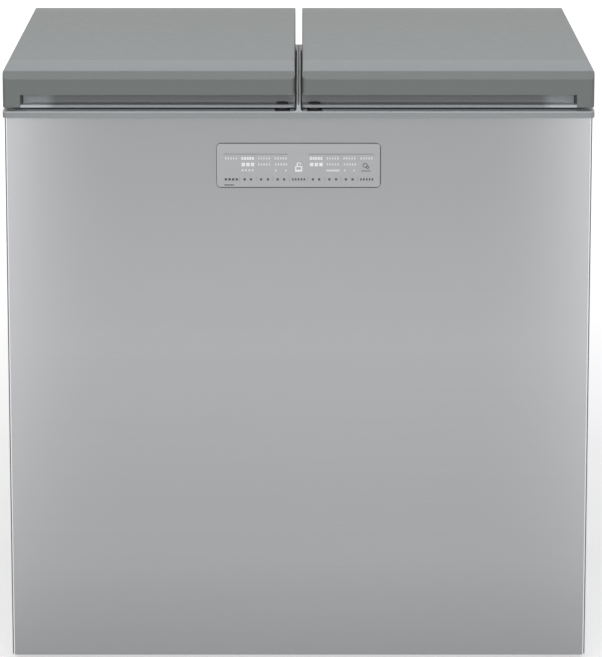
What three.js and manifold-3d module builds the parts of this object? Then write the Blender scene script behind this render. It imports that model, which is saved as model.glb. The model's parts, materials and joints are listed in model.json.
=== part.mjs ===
// Chest-type kimchi refrigerator with two lids that open upwards, as an assembly of separate pieces.
// Millimetres, +Z up. The front faces -Y, and the origin is on the floor under the middle.
import * as THREE from 'three';
import { mergeVertices } from 'three/addons/utils/BufferGeometryUtils.js';
import Module from 'manifold-3d';

const wasm = await Module();
wasm.setup();

// Overall sizes
const overallHeight = 915;
const overallDepth = 780;
const topFrameWidth = 880;
const floorClearance = 14;

// Walls and gaps
const fit = 0.3; // between pieces that touch
const runningFit = 0.4; // round a pin, axle or stem that turns
const sheet = 1.2; // steel sheet of the panels and wells
const mouldedWall = 2.5; // moulded plastic shells
const slack = 1; // how far a cutting solid reaches past what it cuts

// Cabinet
const topFrameHeight = 10;
const topFrameOverhang = 3; // past the panels, at the front and sides
const topFrameCornerRadius = 8;
const panelCornerRadius = 4;
const panelReturn = 14; // folded edge of a panel
const sidePanelSetback = 4; // its front edge behind the front panel's face
const machineRoomHeight = 195;
const machineCoverGap = 8; // height of the rear panel's strip below the foam
const basePanWall = 2;
const basePanHeight = 30;

// Wells
const wellCornerRadius = 40;
const frontWallThickness = 85;
const rearWallThickness = 75;
const sideWallThickness = 75;
const floorWallThickness = 60;
const mullionWidth = 74;
const linerFlange = 8;

// Strip between the lids
const ribWidth = 6;
const ribHeight = 10;
const ribFootWidth = 15;
const ribEndGap = 6; // its rear end before the wells' rear wall
const ribGroove = 1.2;

// Raised land on the top frame, round the gaskets
const landHeight = 3.2;
const landFrontInset = 4;
const landSideInset = 7;
const landCornerRadius = 36;
const landCentreHalf = 7; // free middle under the strip
const landGasketGap = 1.5;
const landBumperGap = 2;

// Lids
const lidHeight = 56;
const lidGap = 11; // between the two lids
const lidSideInset = 1; // inside the top frame
const lidFrontOverhang = 2;
const lidRearOverhang = 30;
const sealGap = 6; // between the lid and the top frame
const lidFaceHeight = 42.2;
const frontBevelDepth = 11;
const frontBandDepth = 96; // the top slopes gently down to the bevel over this
const frontBandDrop = 2.5;
const rearBandDepth = 84;
const rearBandDrop = 3;
const rearBevelDepth = 23;
const rearBevelHeight = 8;
const lidTopEdgeRadius = 5;
const lidCornerRadius = 6;
const plugDepth = 37;
const plugClearance = 6;
const plugCornerRadius = 34;

// Handle recess in the lid's front
const recessEndInset = 26; // from the lid's outer side
const recessDepth = 28;
const recessHeight = 14.9;
const ledgeHeight = 3.7;

// Rubber bumper under each lid's inner front corner
const bumperRadius = 9.3;
const bumperNeckRadius = 7.5;
const bumperX = 24;
const bumperInset = 18; // behind the lid's front
const bumperHeadHeight = 1.5;

// Gasket
const gasketWidth = 12;
const gasketOffset = 1;
const gasketRootWidth = 7;
const gasketBulbHeight = 3.2;

// Lid hinges
const hingeEndInset = 86.75; // from the lid's ends
const hingeBehindPanel = 7;
const hingeAxisRise = 6; // above the lid's underside
const hingePinRadius = 4;
const hingePinHeadRadius = 6;
const hingePinHeadLength = 2.5;
const hingeBarrelRadius = 7.5;
const hingeBarrelHalf = 22;
const hingeLeafThickness = 2.5;
const hingeLeafReach = 46;
const hingeEarRadius = 10;
const hingeEarThickness = 3;
const hingeEarGap = 2;
const hingeEarDepth = 9; // behind the axis
const hingePlateThickness = 2.5;
const hingePlateHalf = 28;
const hingePlateBottom = 76; // below the axis
const hingePlateTop = 13; // below the axis
const hingePocketHalf = 31;
const hingePocketClear = 14; // from the axis to the pocket's walls

// Controls
const fasciaWidth = 244;
const fasciaHeight = 66.7;
const fasciaTopDrop = 37.9; // below the front panel's top
const fasciaRadius = 7;
const fasciaThickness = 1.6;
const fasciaProud = 0.3;
const fasciaGap = 0.6;
const controlRim = 6; // the housing's edge behind the panel
const controlLedge = 2; // the housing's edge behind the fascia
const controlHousingDepth = 21;
const boardThickness = 1.6;
const boardPostHeight = 8;
const boardPostRadius = 3;

// Feet and rollers
const footSideInset = 52; // from the side panel
const footSetback = 72; // from the front panel
const footPadRadius = 20;
const footPadHeight = 7;
const footHexRadius = 9;
const footHexHeight = 7;
const footStemRadius = 5;
const footStemSpare = 28; // above its nut
const footPadEdge = 1;
const footPadTaper = 3;
const footNutSize = 26;
const footNutHeight = 12;
const rollerSideInset = 52;
const rollerRearInset = 50;
const rollerRadius = 16;
const rollerWidth = 20;
const rollerAxleRadius = 3;
const rollerEarRadius = 11;
const rollerEarThickness = 2.5;
const rollerSideGap = 2;
const rollerEdge = 2;

// Evaporator coils round the wells
const evaporatorTubeRadius = 4;
const evaporatorTurns = 4;
const evaporatorSideGap = 2.5; // between the coil and the foam outside it
const evaporatorBottomRise = 72; // above the well's floor
const evaporatorTopDrop = 223; // below the front panel's top
const evaporatorMargin = 12; // free height above and below the coil in its space

// Machine room
const compressorX = -30;
const compressorRearGap = 120;
const compressorRadius = 78;
const compressorHeight = 147;
const compressorPlateWidth = 190;
const compressorPlateDepth = 130;
const compressorPlateThickness = 3;
const compressorSeamLip = 4;
const terminalBoxWidth = 46;
const terminalBoxDepth = 34;
const terminalBoxRise = 35;
const terminalBoxHeight = 50;
const mountHeight = 16;
const mountRadius = 10;
const mountInset = 14;
const stubLength = 14;
const dischargeDrop = 40; // below the compressor's top
const dischargeOffset = 30;
const dischargeRun = 30;
const dischargeTurn = 60;
const suctionDrop = 70;
const suctionRun = 50;
const pipeRadius = 4;
const suctionPipeRadius = 5;
const capillaryRadius = 2;
const condenserSideInset = 102;
const condenserRearGap = 20;
const condenserLength = 120;
const condenserWidth = 70;
const condenserHeight = 150;
const condenserFins = 9;
const condenserPasses = 4;
const condenserPassPitch = 35;
const condenserStub = 15;
const condenserFirstPass = 25;
const condenserFinLift = 6;
const fanOffset = 78; // from the condenser's middle to the downstream end of the blades
const fanRearInset = 80;
const fanRadius = 59;
const fanTipGap = 3;
const fanDepth = 22;
const fanHubRadius = 20;
const fanBlades = 5;
const fanBladeThickness = 1.6;
const fanBladePitch = 35; // degrees
const shroudSize = 150;
const shroudPlate = 12;
const shroudRingWall = 4;
const spiderSetback = 6;
const motorCupDepth = 18;
const spokeCount = 3;
const motorSetback = 10;
const motorRadius = 24;
const motorLength = 30;
const motorShaftRadius = 3;
const motorShaftLength = 16;
const spokeWidth = 6;
const dryerOffset = 150; // from the compressor's middle
const dryerSetback = 75;
const dryerRadius = 10;
const dryerRise = 52;
const dryerHeight = 95;
const dryerTaper = 12;
const pipeBendRadius = 18;
const boxSideInset = 137;
const boxWidth = 120;
const boxDepth = 45;
const boxHeight = 110;
const boxRearGap = 8;
const boxWall = 2;
const mainBoardShort = 12; // below the box's rim

// Rear cover of the machine room
const louvreLength = 96;
const louvreColumnPitch = 108;
const louvreColumns = 2;
const louvreRows = 5;
const louvreRowPitch = 24;
const louvreHeight = 9;
const louvreDepth = 5;
const grommetBoxOffset = 88;
const grommetRise = 57;
const louvreGrommetOffset = 122;
const louvreCondenserOffset = 10;
const grommetRadius = 11;
const grommetNeckRadius = 8.5;
const grommetBore = 4.5;
const grommetHalf = 5;
const grommetEdge = 2;

// Spacers that hold the back off the wall
const spacerDepth = 35;
const spacerWidth = 60;
const spacerHeight = 40;
const spacerWall = 3;
const spacerCornerRadius = 6;
const spacerSideInset = 137;
const spacerDrop = 190; // below the panels' top

// Places worked out from the sizes
const lidFrontY = -overallDepth / 2;
const bodyRearY = overallDepth / 2 - spacerDepth;
const lidRearY = bodyRearY + lidRearOverhang;
const topFrameFrontY = lidFrontY + lidFrontOverhang;
const panelFrontY = topFrameFrontY + topFrameOverhang;
const topFrameHalf = topFrameWidth / 2;
const bodyHalf = topFrameHalf - topFrameOverhang;
const lidBottomZ = overallHeight - lidHeight;
const topFrameTopZ = lidBottomZ - sealGap;
const topFrameBottomZ = topFrameTopZ - topFrameHeight;
const panelTopZ = topFrameBottomZ - fit;
const panelBottomZ = floorClearance;
const foamBottomZ = panelBottomZ + machineRoomHeight;
const foamTopZ = panelTopZ - sheet - fit;
const sheetBackY = panelFrontY + sheet;
const foamFrontY = sheetBackY + fit;
const foamRearY = bodyRearY - 2 * sheet - 2 * fit;
const frontPanelHalf = bodyHalf - sheet - fit;
const foamHalf = frontPanelHalf - sheet - fit;
const wellInnerX = mullionWidth / 2;
const wellOuterX = bodyHalf - sideWallThickness;
const wellFrontY = panelFrontY + frontWallThickness;
const wellRearY = bodyRearY - rearWallThickness;
const wellFloorZ = foamBottomZ + floorWallThickness;
const lidInnerX = lidGap / 2;
const lidOuterX = topFrameHalf - lidSideInset;
const lidMiddleX = (lidInnerX + lidOuterX) / 2;
const hingeSpread = (lidOuterX - lidInnerX) / 2 - hingeEndInset;
const hingeY = bodyRearY + hingeBehindPanel;
const hingeZ = lidBottomZ + hingeAxisRise;
const recessBottomZ = lidBottomZ + ledgeHeight;
const recessTopZ = recessBottomZ + recessHeight;
const recessBackY = lidFrontY + recessDepth;
const recessOuterX = lidOuterX - recessEndInset;
const basePanBottomZ = panelBottomZ + sheet + fit;
const basePanFloorZ = basePanBottomZ + basePanWall;
const basePanHalf = bodyHalf - sheet - fit;
const basePanFrontY = panelFrontY + panelReturn + fit;
const rearPanelBottomZ = foamBottomZ - machineCoverGap;
const ribRearY = wellRearY - ribEndGap;
const fasciaTopZ = panelTopZ - fasciaTopDrop;
const fasciaBottomZ = fasciaTopZ - fasciaHeight;
const footX = bodyHalf - footSideInset;
const footY = panelFrontY + footSetback;
const footStemTop = basePanFloorZ + footNutHeight + footStemSpare;
const rollerX = bodyHalf - rollerSideInset;
const rollerY = bodyRearY - rollerRearInset;
const evaporatorBottomZ = wellFloorZ + evaporatorBottomRise;
const evaporatorTopZ = panelTopZ - evaporatorTopDrop;
const compressorY = bodyRearY - compressorRearGap;
const condenserX = condenserSideInset - bodyHalf;
const condenserFrontY = bodyRearY - condenserRearGap - condenserLength;
const fanX = condenserX + fanOffset;
const fanY = bodyRearY - fanRearInset;
const dryerX = compressorX - dryerOffset;
const dryerY = compressorY - dryerSetback;
const dryerBottomZ = basePanFloorZ + dryerRise;
const boxX = bodyHalf - boxSideInset;
const grommetX = boxX - grommetBoxOffset;
const grommetZ = panelBottomZ + grommetRise;
const louvreFieldCentres = [condenserX + louvreCondenserOffset, grommetX - louvreGrommetOffset];
const spacerX = bodyHalf - spacerSideInset;
const spacerZ = panelTopZ - spacerDrop;
const bumperY = lidFrontY + bumperInset;

// Colours taken from the photograph where a piece shows in it
function finish(color, roughness, metalness) {
  return new THREE.MeshStandardMaterial({ color, roughness, metalness });
}

const frontSteel = finish('#a4a6a8', 0.38, 0.7);
const sideSteel = finish('#8d8f91', 0.5, 0.3);
const lidPaint = finish('#969899', 0.45, 0.1);
const handlePlastic = finish('#6d7174', 0.55, 0);
const framePlastic = finish('#8f9394', 0.5, 0);
const fasciaFilm = finish('#b4b5b6', 0.3, 0.1);
const galvanised = finish('#9aa0a3', 0.45, 0.8);
const linerMetal = finish('#d6d9da', 0.35, 0.6);
const insulation = finish('#e6dcb4', 0.95, 0);
const rubber = finish('#2b2c2d', 0.8, 0);
const gasketRubber = finish('#77797b', 0.7, 0);
const copper = finish('#b06a3c', 0.35, 0.9);
const blackPaint = finish('#1d1e20', 0.5, 0.2);
const blackPlastic = finish('#26272a', 0.5, 0);
const whitePlastic = finish('#e4e4e0', 0.5, 0);
const circuitBoard = finish('#2f6b3c', 0.5, 0);
const hingeSteel = finish('#b9bcbe', 0.3, 0.9);

// ---- Solids ----

// A closed three.js geometry as a solid that can be cut and joined.
function solid(geometry) {
  const bare = geometry.index ? geometry.toNonIndexed() : geometry.clone();
  bare.deleteAttribute('normal');
  bare.deleteAttribute('uv');
  const merged = mergeVertices(bare, 1e-4);
  const corners = merged.index.array;
  const triangles = [];
  for (let i = 0; i < corners.length; i += 3) {
    const [a, b, c] = [corners[i], corners[i + 1], corners[i + 2]];
    if (a !== b && b !== c && c !== a) triangles.push(a, b, c);
  }
  const vertProperties = new Float32Array(merged.attributes.position.array);
  const triVerts = new Uint32Array(triangles);
  return new wasm.Manifold(new wasm.Mesh({ numProp: 3, vertProperties, triVerts }));
}

// Joins leave slivers and points in the middle of straight edges, which are dropped here.
function geometryOf(body) {
  const mesh = body.asOriginal().simplify(1e-3).getMesh();
  const geometry = new THREE.BufferGeometry();
  geometry.setAttribute('position', new THREE.BufferAttribute(new Float32Array(mesh.vertProperties), 3));
  geometry.setIndex(new THREE.BufferAttribute(new Uint32Array(mesh.triVerts), 1));
  return geometry;
}

function piece(name, body, material) {
  const mesh = new THREE.Mesh(geometryOf(body), material);
  mesh.name = name;
  return mesh;
}

function box(x0, x1, y0, y1, z0, z1) {
  const geometry = new THREE.BoxGeometry(x1 - x0, y1 - y0, z1 - z0);
  geometry.translate((x0 + x1) / 2, (y0 + y1) / 2, (z0 + z1) / 2);
  return solid(geometry);
}

function extrude(shape, depth, curveSegments) {
  return new THREE.ExtrudeGeometry(shape, { depth, bevelEnabled: false, curveSegments });
}

// A shape drawn in x and y, between two heights.
function prismZ(shape, z0, z1, curveSegments = 3) {
  return solid(extrude(shape, z1 - z0, curveSegments).translate(0, 0, z0));
}

// A shape drawn in y and z, between two places along x.
function prismX(shape, x0, x1, curveSegments = 3) {
  const turn = new THREE.Matrix4().set(0, 0, 1, x0, 1, 0, 0, 0, 0, 1, 0, 0, 0, 0, 0, 1);
  return solid(extrude(shape, x1 - x0, curveSegments).applyMatrix4(turn));
}

// A shape drawn in x and z, between two places along y.
function prismY(shape, y0, y1, curveSegments = 3) {
  const turn = new THREE.Matrix4().set(1, 0, 0, 0, 0, 0, -1, y1, 0, 1, 0, 0, 0, 0, 0, 1);
  return solid(extrude(shape, y1 - y0, curveSegments).applyMatrix4(turn));
}

function roundedRect(u0, u1, v0, v1, radius) {
  const shape = new THREE.Shape();
  shape.moveTo(u0 + radius, v0);
  shape.lineTo(u1 - radius, v0);
  shape.absarc(u1 - radius, v0 + radius, radius, -Math.PI / 2, 0);
  shape.lineTo(u1, v1 - radius);
  shape.absarc(u1 - radius, v1 - radius, radius, 0, Math.PI / 2);
  shape.lineTo(u0 + radius, v1);
  shape.absarc(u0 + radius, v1 - radius, radius, Math.PI / 2, Math.PI);
  shape.lineTo(u0, v0 + radius);
  shape.absarc(u0 + radius, v0 + radius, radius, Math.PI, 1.5 * Math.PI);
  return shape;
}

// A rectangle with only its two corners at v0 rounded.
function frontRounded(halfU, v0, v1, radius) {
  const shape = new THREE.Shape();
  shape.moveTo(-halfU + radius, v0);
  shape.lineTo(halfU - radius, v0);
  shape.absarc(halfU - radius, v0 + radius, radius, -Math.PI / 2, 0);
  shape.lineTo(halfU, v1);
  shape.lineTo(-halfU, v1);
  shape.lineTo(-halfU, v0 + radius);
  shape.absarc(-halfU + radius, v0 + radius, radius, Math.PI, 1.5 * Math.PI);
  return shape;
}

function rod(axis, radius, from, to, a, b, sides = 16) {
  const geometry = new THREE.CylinderGeometry(radius, radius, to - from, sides);
  const middle = (from + to) / 2;
  if (axis === 'x') geometry.rotateZ(-Math.PI / 2).translate(middle, a, b);
  if (axis === 'y') geometry.translate(a, middle, b);
  if (axis === 'z') geometry.rotateX(Math.PI / 2).translate(a, b, middle);
  return solid(geometry);
}

// A profile of [radius, height] points turned about Z; it starts and ends on the axis.
function turned(profile, segments = 24) {
  const points = profile.map(([r, z]) => new THREE.Vector2(r, z));
  return solid(new THREE.LatheGeometry(points, segments).rotateX(Math.PI / 2));
}

// A closed profile of [radius, height] points turned about Z, with a hole through it.
function turnedRing(profile, segments = 24) {
  return turned([...profile, profile[0]], segments);
}

// A path that goes straight from point to point, with one extrusion step to each.
class Route extends THREE.Curve {
  constructor(points) {
    super();
    this.points = points;
  }

  getPoint(t, target = new THREE.Vector3()) {
    const last = this.points.length - 1;
    const at = THREE.MathUtils.clamp(t * last, 0, last);
    const index = Math.min(Math.floor(at), last - 1);
    return target.lerpVectors(this.points[index], this.points[index + 1], at - index);
  }

  getTangent(t, target = new THREE.Vector3()) {
    const last = this.points.length - 1;
    const index = Math.round(t * last);
    const here = this.points[index];
    target.set(0, 0, 0);
    if (index > 0) target.add(here.clone().sub(this.points[index - 1]).normalize());
    if (index < last) target.add(this.points[index + 1].clone().sub(here).normalize());
    return target.normalize();
  }

  getUtoTmapping(u) {
    return u;
  }
}

// The same corners with each inner one rounded.
function bent(corners, radius, steps = 4) {
  const points = corners.map((corner) => new THREE.Vector3(...corner));
  const route = [points[0]];
  for (let i = 1; i < points.length - 1; i += 1) {
    const before = points[i - 1].clone().sub(points[i]).setLength(radius).add(points[i]);
    const after = points[i + 1].clone().sub(points[i]).setLength(radius).add(points[i]);
    const bend = new THREE.QuadraticBezierCurve3(before, points[i], after);
    route.push(...bend.getPoints(steps));
  }
  route.push(points[points.length - 1]);
  return route;
}

function tube(points, radius, sides = 8) {
  const section = new THREE.Shape();
  for (let i = 0; i < sides; i += 1) {
    const angle = (2 * Math.PI * i) / sides;
    if (i === 0) section.moveTo(radius, 0);
    else section.lineTo(radius * Math.cos(angle), radius * Math.sin(angle));
  }
  const extrudePath = new Route(points);
  return solid(new THREE.ExtrudeGeometry(section, { steps: points.length - 1, extrudePath }));
}

const mirrored = (body) => body.mirror([1, 0, 0]);
// Pieces are drawn on the right; the left one is its mirror image.
const onSide = (side, body) => (side > 0 ? body : mirrored(body));
const sides = [['left', -1], ['right', 1]];

// ---- Cabinet ----

function sidePanel() {
  const frontY = panelFrontY + sidePanelSetback;
  const rearY = bodyRearY - sheet - fit;
  const wall = box(bodyHalf - sheet, bodyHalf, frontY, rearY, panelBottomZ, panelTopZ);
  const rearReturn = box(bodyHalf - panelReturn, bodyHalf, rearY - sheet, rearY, panelBottomZ, panelTopZ);
  const footReturn = box(
    bodyHalf - panelReturn,
    bodyHalf,
    basePanFrontY,
    rearY,
    panelBottomZ,
    panelBottomZ + sheet,
  );
  return wall.add(rearReturn).add(footReturn);
}

function frontPanel() {
  const backY = panelFrontY + panelReturn;
  const outerShape = frontRounded(frontPanelHalf, panelFrontY, backY, panelCornerRadius);
  const outer = prismZ(outerShape, panelBottomZ, panelTopZ);
  const innerShape = frontRounded(
    frontPanelHalf - sheet,
    sheetBackY,
    backY + slack,
    panelCornerRadius - sheet,
  );
  const inner = prismZ(innerShape, panelBottomZ + sheet, panelTopZ + slack);
  const half = fasciaWidth / 2 + fasciaGap;
  const windowShape = roundedRect(
    -half,
    half,
    fasciaBottomZ - fasciaGap,
    fasciaTopZ + fasciaGap,
    fasciaRadius + fasciaGap,
  );
  return outer.subtract(inner).subtract(prismY(windowShape, panelFrontY - slack, sheetBackY + slack));
}

function rearPanel() {
  return box(-bodyHalf, bodyHalf, bodyRearY - sheet, bodyRearY, rearPanelBottomZ, panelTopZ);
}

function rollerEar(x) {
  const axleZ = rollerRadius;
  const disc = rod('x', rollerEarRadius, x, x + rollerEarThickness, rollerY, axleZ);
  const strap = box(
    x,
    x + rollerEarThickness,
    rollerY - rollerEarRadius,
    rollerY + rollerEarRadius,
    axleZ,
    basePanFloorZ,
  );
  return disc.add(strap);
}

// The parts of the base pan that belong to one side: nut plate, roller ears and their holes.
function basePanSide(pan, side) {
  const earOffset = rollerWidth / 2 + rollerSideGap;
  const nutHalf = footNutSize / 2;
  const nut = box(
    footX - nutHalf,
    footX + nutHalf,
    footY - nutHalf,
    footY + nutHalf,
    basePanBottomZ,
    basePanFloorZ + footNutHeight,
  );
  const stemHole = rod(
    'z',
    footStemRadius + runningFit,
    basePanBottomZ - slack,
    footStemTop + slack,
    footX,
    footY,
  );
  const rollerHole = box(
    rollerX - earOffset,
    rollerX + earOffset,
    rollerY - rollerRadius - rollerSideGap,
    rollerY + rollerRadius + rollerSideGap,
    basePanBottomZ - slack,
    basePanFloorZ + slack,
  );
  const ears = rollerEar(rollerX + earOffset).add(rollerEar(rollerX - earOffset - rollerEarThickness));
  const axleHole = rod(
    'x',
    rollerAxleRadius + fit,
    rollerX - 2 * earOffset,
    rollerX + 2 * earOffset,
    rollerY,
    rollerRadius,
  );
  const grown = pan.add(onSide(side, nut)).subtract(onSide(side, rollerHole)).add(onSide(side, ears));
  return grown.subtract(onSide(side, stemHole)).subtract(onSide(side, axleHole));
}

const compressorPlateZ = basePanFloorZ + mountHeight + fit;
const compressorMountPlaces = [-1, 1].flatMap((sx) => [-1, 1].map((sy) => [
  compressorX + sx * (compressorPlateWidth / 2 - mountInset),
  compressorY + sy * (compressorPlateDepth / 2 - mountInset),
]));

function baseFrame() {
  const outer = box(
    -basePanHalf,
    basePanHalf,
    basePanFrontY,
    foamRearY,
    basePanBottomZ,
    basePanBottomZ + basePanHeight,
  );
  const inner = box(
    -basePanHalf + basePanWall,
    basePanHalf - basePanWall,
    basePanFrontY + basePanWall,
    foamRearY - basePanWall,
    basePanFloorZ,
    basePanBottomZ + basePanHeight + slack,
  );
  let pan = outer.subtract(inner);
  for (const [, side] of sides) pan = basePanSide(pan, side);
  for (const [x, y] of compressorMountPlaces) {
    pan = pan.add(rod('z', mountRadius, basePanBottomZ, basePanFloorZ + mountHeight, x, y, 16));
  }
  return pan;
}

// The well's outline, grown outwards by a margin.
function wellShape(grow) {
  return roundedRect(
    wellInnerX - grow,
    wellOuterX + grow,
    wellFrontY - grow,
    wellRearY + grow,
    wellCornerRadius + grow,
  );
}

const controlHalf = fasciaWidth / 2 + controlRim;
const controlBottomZ = fasciaBottomZ - controlRim;
const controlTopZ = fasciaTopZ + controlRim;
const controlBackY = foamFrontY + controlHousingDepth;
const evaporatorOffset = sheet + fit + evaporatorTubeRadius;

// The space inside the folded panels.
function foamOutline() {
  return frontRounded(foamHalf, foamFrontY, foamRearY, panelCornerRadius - sheet - fit);
}

function cabinetFoam() {
  let foam = prismZ(foamOutline(), foamBottomZ + sheet + fit, foamTopZ);
  const wellHole = prismZ(wellShape(sheet + fit), wellFloorZ - sheet - fit, foamTopZ + slack);
  const coilSpace = prismZ(
    wellShape(evaporatorOffset + evaporatorTubeRadius + evaporatorSideGap),
    evaporatorBottomZ - evaporatorTubeRadius - evaporatorMargin,
    evaporatorTopZ + evaporatorTubeRadius + evaporatorMargin,
  );
  for (const [, side] of sides) {
    foam = foam.subtract(onSide(side, wellHole)).subtract(onSide(side, coilSpace));
  }
  const controlSpace = box(
    -controlHalf - fit,
    controlHalf + fit,
    foamFrontY - slack,
    controlBackY + fit,
    controlBottomZ - fit,
    controlTopZ + fit,
  );
  return foam.subtract(controlSpace);
}

function floorPlate() {
  return prismZ(foamOutline(), foamBottomZ, foamBottomZ + sheet);
}

function liner() {
  const shell = prismZ(wellShape(sheet), wellFloorZ - sheet, panelTopZ);
  const flange = prismZ(wellShape(sheet + linerFlange), panelTopZ - sheet, panelTopZ);
  return shell.add(flange).subtract(prismZ(wellShape(0), wellFloorZ, panelTopZ + slack));
}

// One tube wound round the well, climbing at a steady rate, with points only on the corners.
function evaporator() {
  const cornerSteps = 3;
  // The chords between the points, not the points, keep the tube's distance from the well.
  const radius = (wellCornerRadius + evaporatorOffset) / Math.cos(Math.PI / 4 / cornerSteps);
  const corners = [
    [wellOuterX - wellCornerRadius, wellFrontY + wellCornerRadius, -Math.PI / 2],
    [wellOuterX - wellCornerRadius, wellRearY - wellCornerRadius, 0],
    [wellInnerX + wellCornerRadius, wellRearY - wellCornerRadius, Math.PI / 2],
    [wellInnerX + wellCornerRadius, wellFrontY + wellCornerRadius, Math.PI],
  ];
  const flat = [];
  for (let turn = 0; turn < evaporatorTurns; turn += 1) {
    for (const [x, y, start] of corners) {
      for (let step = 0; step <= cornerSteps; step += 1) {
        const angle = start + (step / cornerSteps) * (Math.PI / 2);
        flat.push(new THREE.Vector3(x + radius * Math.cos(angle), y + radius * Math.sin(angle), 0));
      }
    }
  }
  let run = 0;
  const runs = flat.map((point, i) => {
    if (i > 0) run += point.distanceTo(flat[i - 1]);
    return run;
  });
  const rise = evaporatorTopZ - evaporatorBottomZ;
  flat.forEach((point, i) => point.setZ(evaporatorBottomZ + (rise * runs[i]) / run));
  return tube(flat, evaporatorTubeRadius, 6);
}

// Section of the strip between the lids, with its flared foot and a groove along the top.
function ribSection() {
  const shape = new THREE.Shape();
  const half = ribWidth / 2;
  const foot = ribFootWidth / 2;
  const top = topFrameTopZ + ribHeight;
  const shoulder = topFrameTopZ + ribHeight * 0.4;
  shape.moveTo(-foot, topFrameTopZ - slack);
  shape.lineTo(foot, topFrameTopZ - slack);
  shape.lineTo(foot, topFrameTopZ);
  shape.quadraticCurveTo(half, topFrameTopZ, half, shoulder);
  shape.lineTo(half, top);
  shape.lineTo(ribGroove / 2, top);
  shape.lineTo(0, top - ribGroove);
  shape.lineTo(-ribGroove / 2, top);
  shape.lineTo(-half, top);
  shape.lineTo(-half, shoulder);
  shape.quadraticCurveTo(-half, topFrameTopZ, -foot, topFrameTopZ);
  return shape;
}

// The raised land under the lids' edges, open round the gaskets, the bumpers and the strip.
function frameLand() {
  const frontY = topFrameFrontY + landFrontInset;
  const rearY = bodyRearY - hingeLeafReach;
  const outline = frontRounded(topFrameHalf - landSideInset, frontY, rearY, landCornerRadius);
  const top = topFrameTopZ + landHeight;
  const cutTop = top + slack;
  let land = prismZ(outline, topFrameTopZ - slack, top, 5);
  const centre = box(-landCentreHalf, landCentreHalf, frontY - slack, rearY + slack, topFrameTopZ, cutTop);
  land = land.subtract(centre);
  const gasketRoom = wellShape(gasketOffset + gasketWidth + landGasketGap);
  const clear = bumperRadius + landBumperGap;
  const hole = rod('z', clear, topFrameTopZ, cutTop, bumperX, bumperY);
  const notch = box(bumperX - clear, bumperX + clear, frontY - slack, bumperY, topFrameTopZ, cutTop);
  const room = prismZ(gasketRoom, topFrameTopZ, cutTop).add(hole).add(notch);
  for (const [, side] of sides) land = land.subtract(onSide(side, room));
  return land;
}

function topFrame() {
  const outline = frontRounded(topFrameHalf, topFrameFrontY, bodyRearY, topFrameCornerRadius);
  let frame = prismZ(outline, topFrameBottomZ, topFrameTopZ).add(frameLand());
  frame = frame.add(prismY(ribSection(), topFrameFrontY, ribRearY, 4));
  const mouth = prismZ(wellShape(0), topFrameBottomZ - slack, topFrameTopZ + slack);
  for (const [, side] of sides) frame = frame.subtract(onSide(side, mouth));
  return frame;
}

// ---- Controls ----

function controlFascia() {
  const half = fasciaWidth / 2;
  const shape = roundedRect(-half, half, fasciaBottomZ, fasciaTopZ, fasciaRadius);
  const frontY = panelFrontY - fasciaProud;
  return prismY(shape, frontY, frontY + fasciaThickness);
}

const controlFrontY = Math.max(foamFrontY, panelFrontY - fasciaProud + fasciaThickness + fit);
const boardY = controlBackY - mouldedWall - boardPostHeight - fit;
const boardMargin = controlRim + controlLedge + mouldedWall;

function controlHousing() {
  const outer = box(-controlHalf, controlHalf, controlFrontY, controlBackY, controlBottomZ, controlTopZ);
  const inset = controlRim + controlLedge;
  const inner = box(
    -controlHalf + inset,
    controlHalf - inset,
    controlFrontY - slack,
    controlBackY - mouldedWall,
    controlBottomZ + inset,
    controlTopZ - inset,
  );
  let housing = outer.subtract(inner);
  for (const x of [-1, 1]) {
    for (const z of [controlBottomZ + 2 * boardMargin, controlTopZ - 2 * boardMargin]) {
      const place = x * (controlHalf - 2 * boardMargin);
      const post = rod('y', boardPostRadius, boardY + fit, controlBackY - slack, place, z, 12);
      housing = housing.add(post);
    }
  }
  return housing;
}

function displayBoard() {
  return box(
    -controlHalf + boardMargin,
    controlHalf - boardMargin,
    boardY - boardThickness,
    boardY,
    controlBottomZ + boardMargin,
    controlTopZ - boardMargin,
  );
}

// ---- Feet and rollers, each drawn about its own turning axis ----

function frontFoot() {
  const pad = turned([
    [0, 0],
    [footPadRadius - footPadEdge, 0],
    [footPadRadius, footPadEdge],
    [footPadRadius, footPadHeight - footPadTaper],
    [footHexRadius, footPadHeight],
    [0, footPadHeight],
  ]);
  const hexTop = footPadHeight + footHexHeight;
  const hex = rod('z', footHexRadius, footPadHeight - slack, hexTop, 0, 0, 6);
  const stem = rod('z', footStemRadius, hexTop - slack, footStemTop, 0, 0);
  return pad.add(hex).add(stem);
}

function rearRoller() {
  const half = rollerWidth / 2;
  const bore = rollerAxleRadius + runningFit;
  const ring = turnedRing([
    [bore, -half],
    [rollerRadius - rollerEdge, -half],
    [rollerRadius, -half + rollerEdge],
    [rollerRadius, half - rollerEdge],
    [rollerRadius - rollerEdge, half],
    [bore, half],
  ], 20);
  return ring.rotate([0, 90, 0]);
}

// A plain pin with its ends riveted over outside the ears.
function rollerAxle() {
  const earOuter = rollerWidth / 2 + rollerSideGap + rollerEarThickness;
  return rod('x', rollerAxleRadius, -earOuter - slack, earOuter + slack, 0, 0);
}

// ---- Machine room ----

const compressorTopZ = compressorPlateZ + compressorPlateThickness + compressorHeight;
const dischargeZ = compressorTopZ - dischargeDrop;
const suctionZ = compressorTopZ - suctionDrop;
const dischargeX = compressorX - dischargeOffset;

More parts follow.
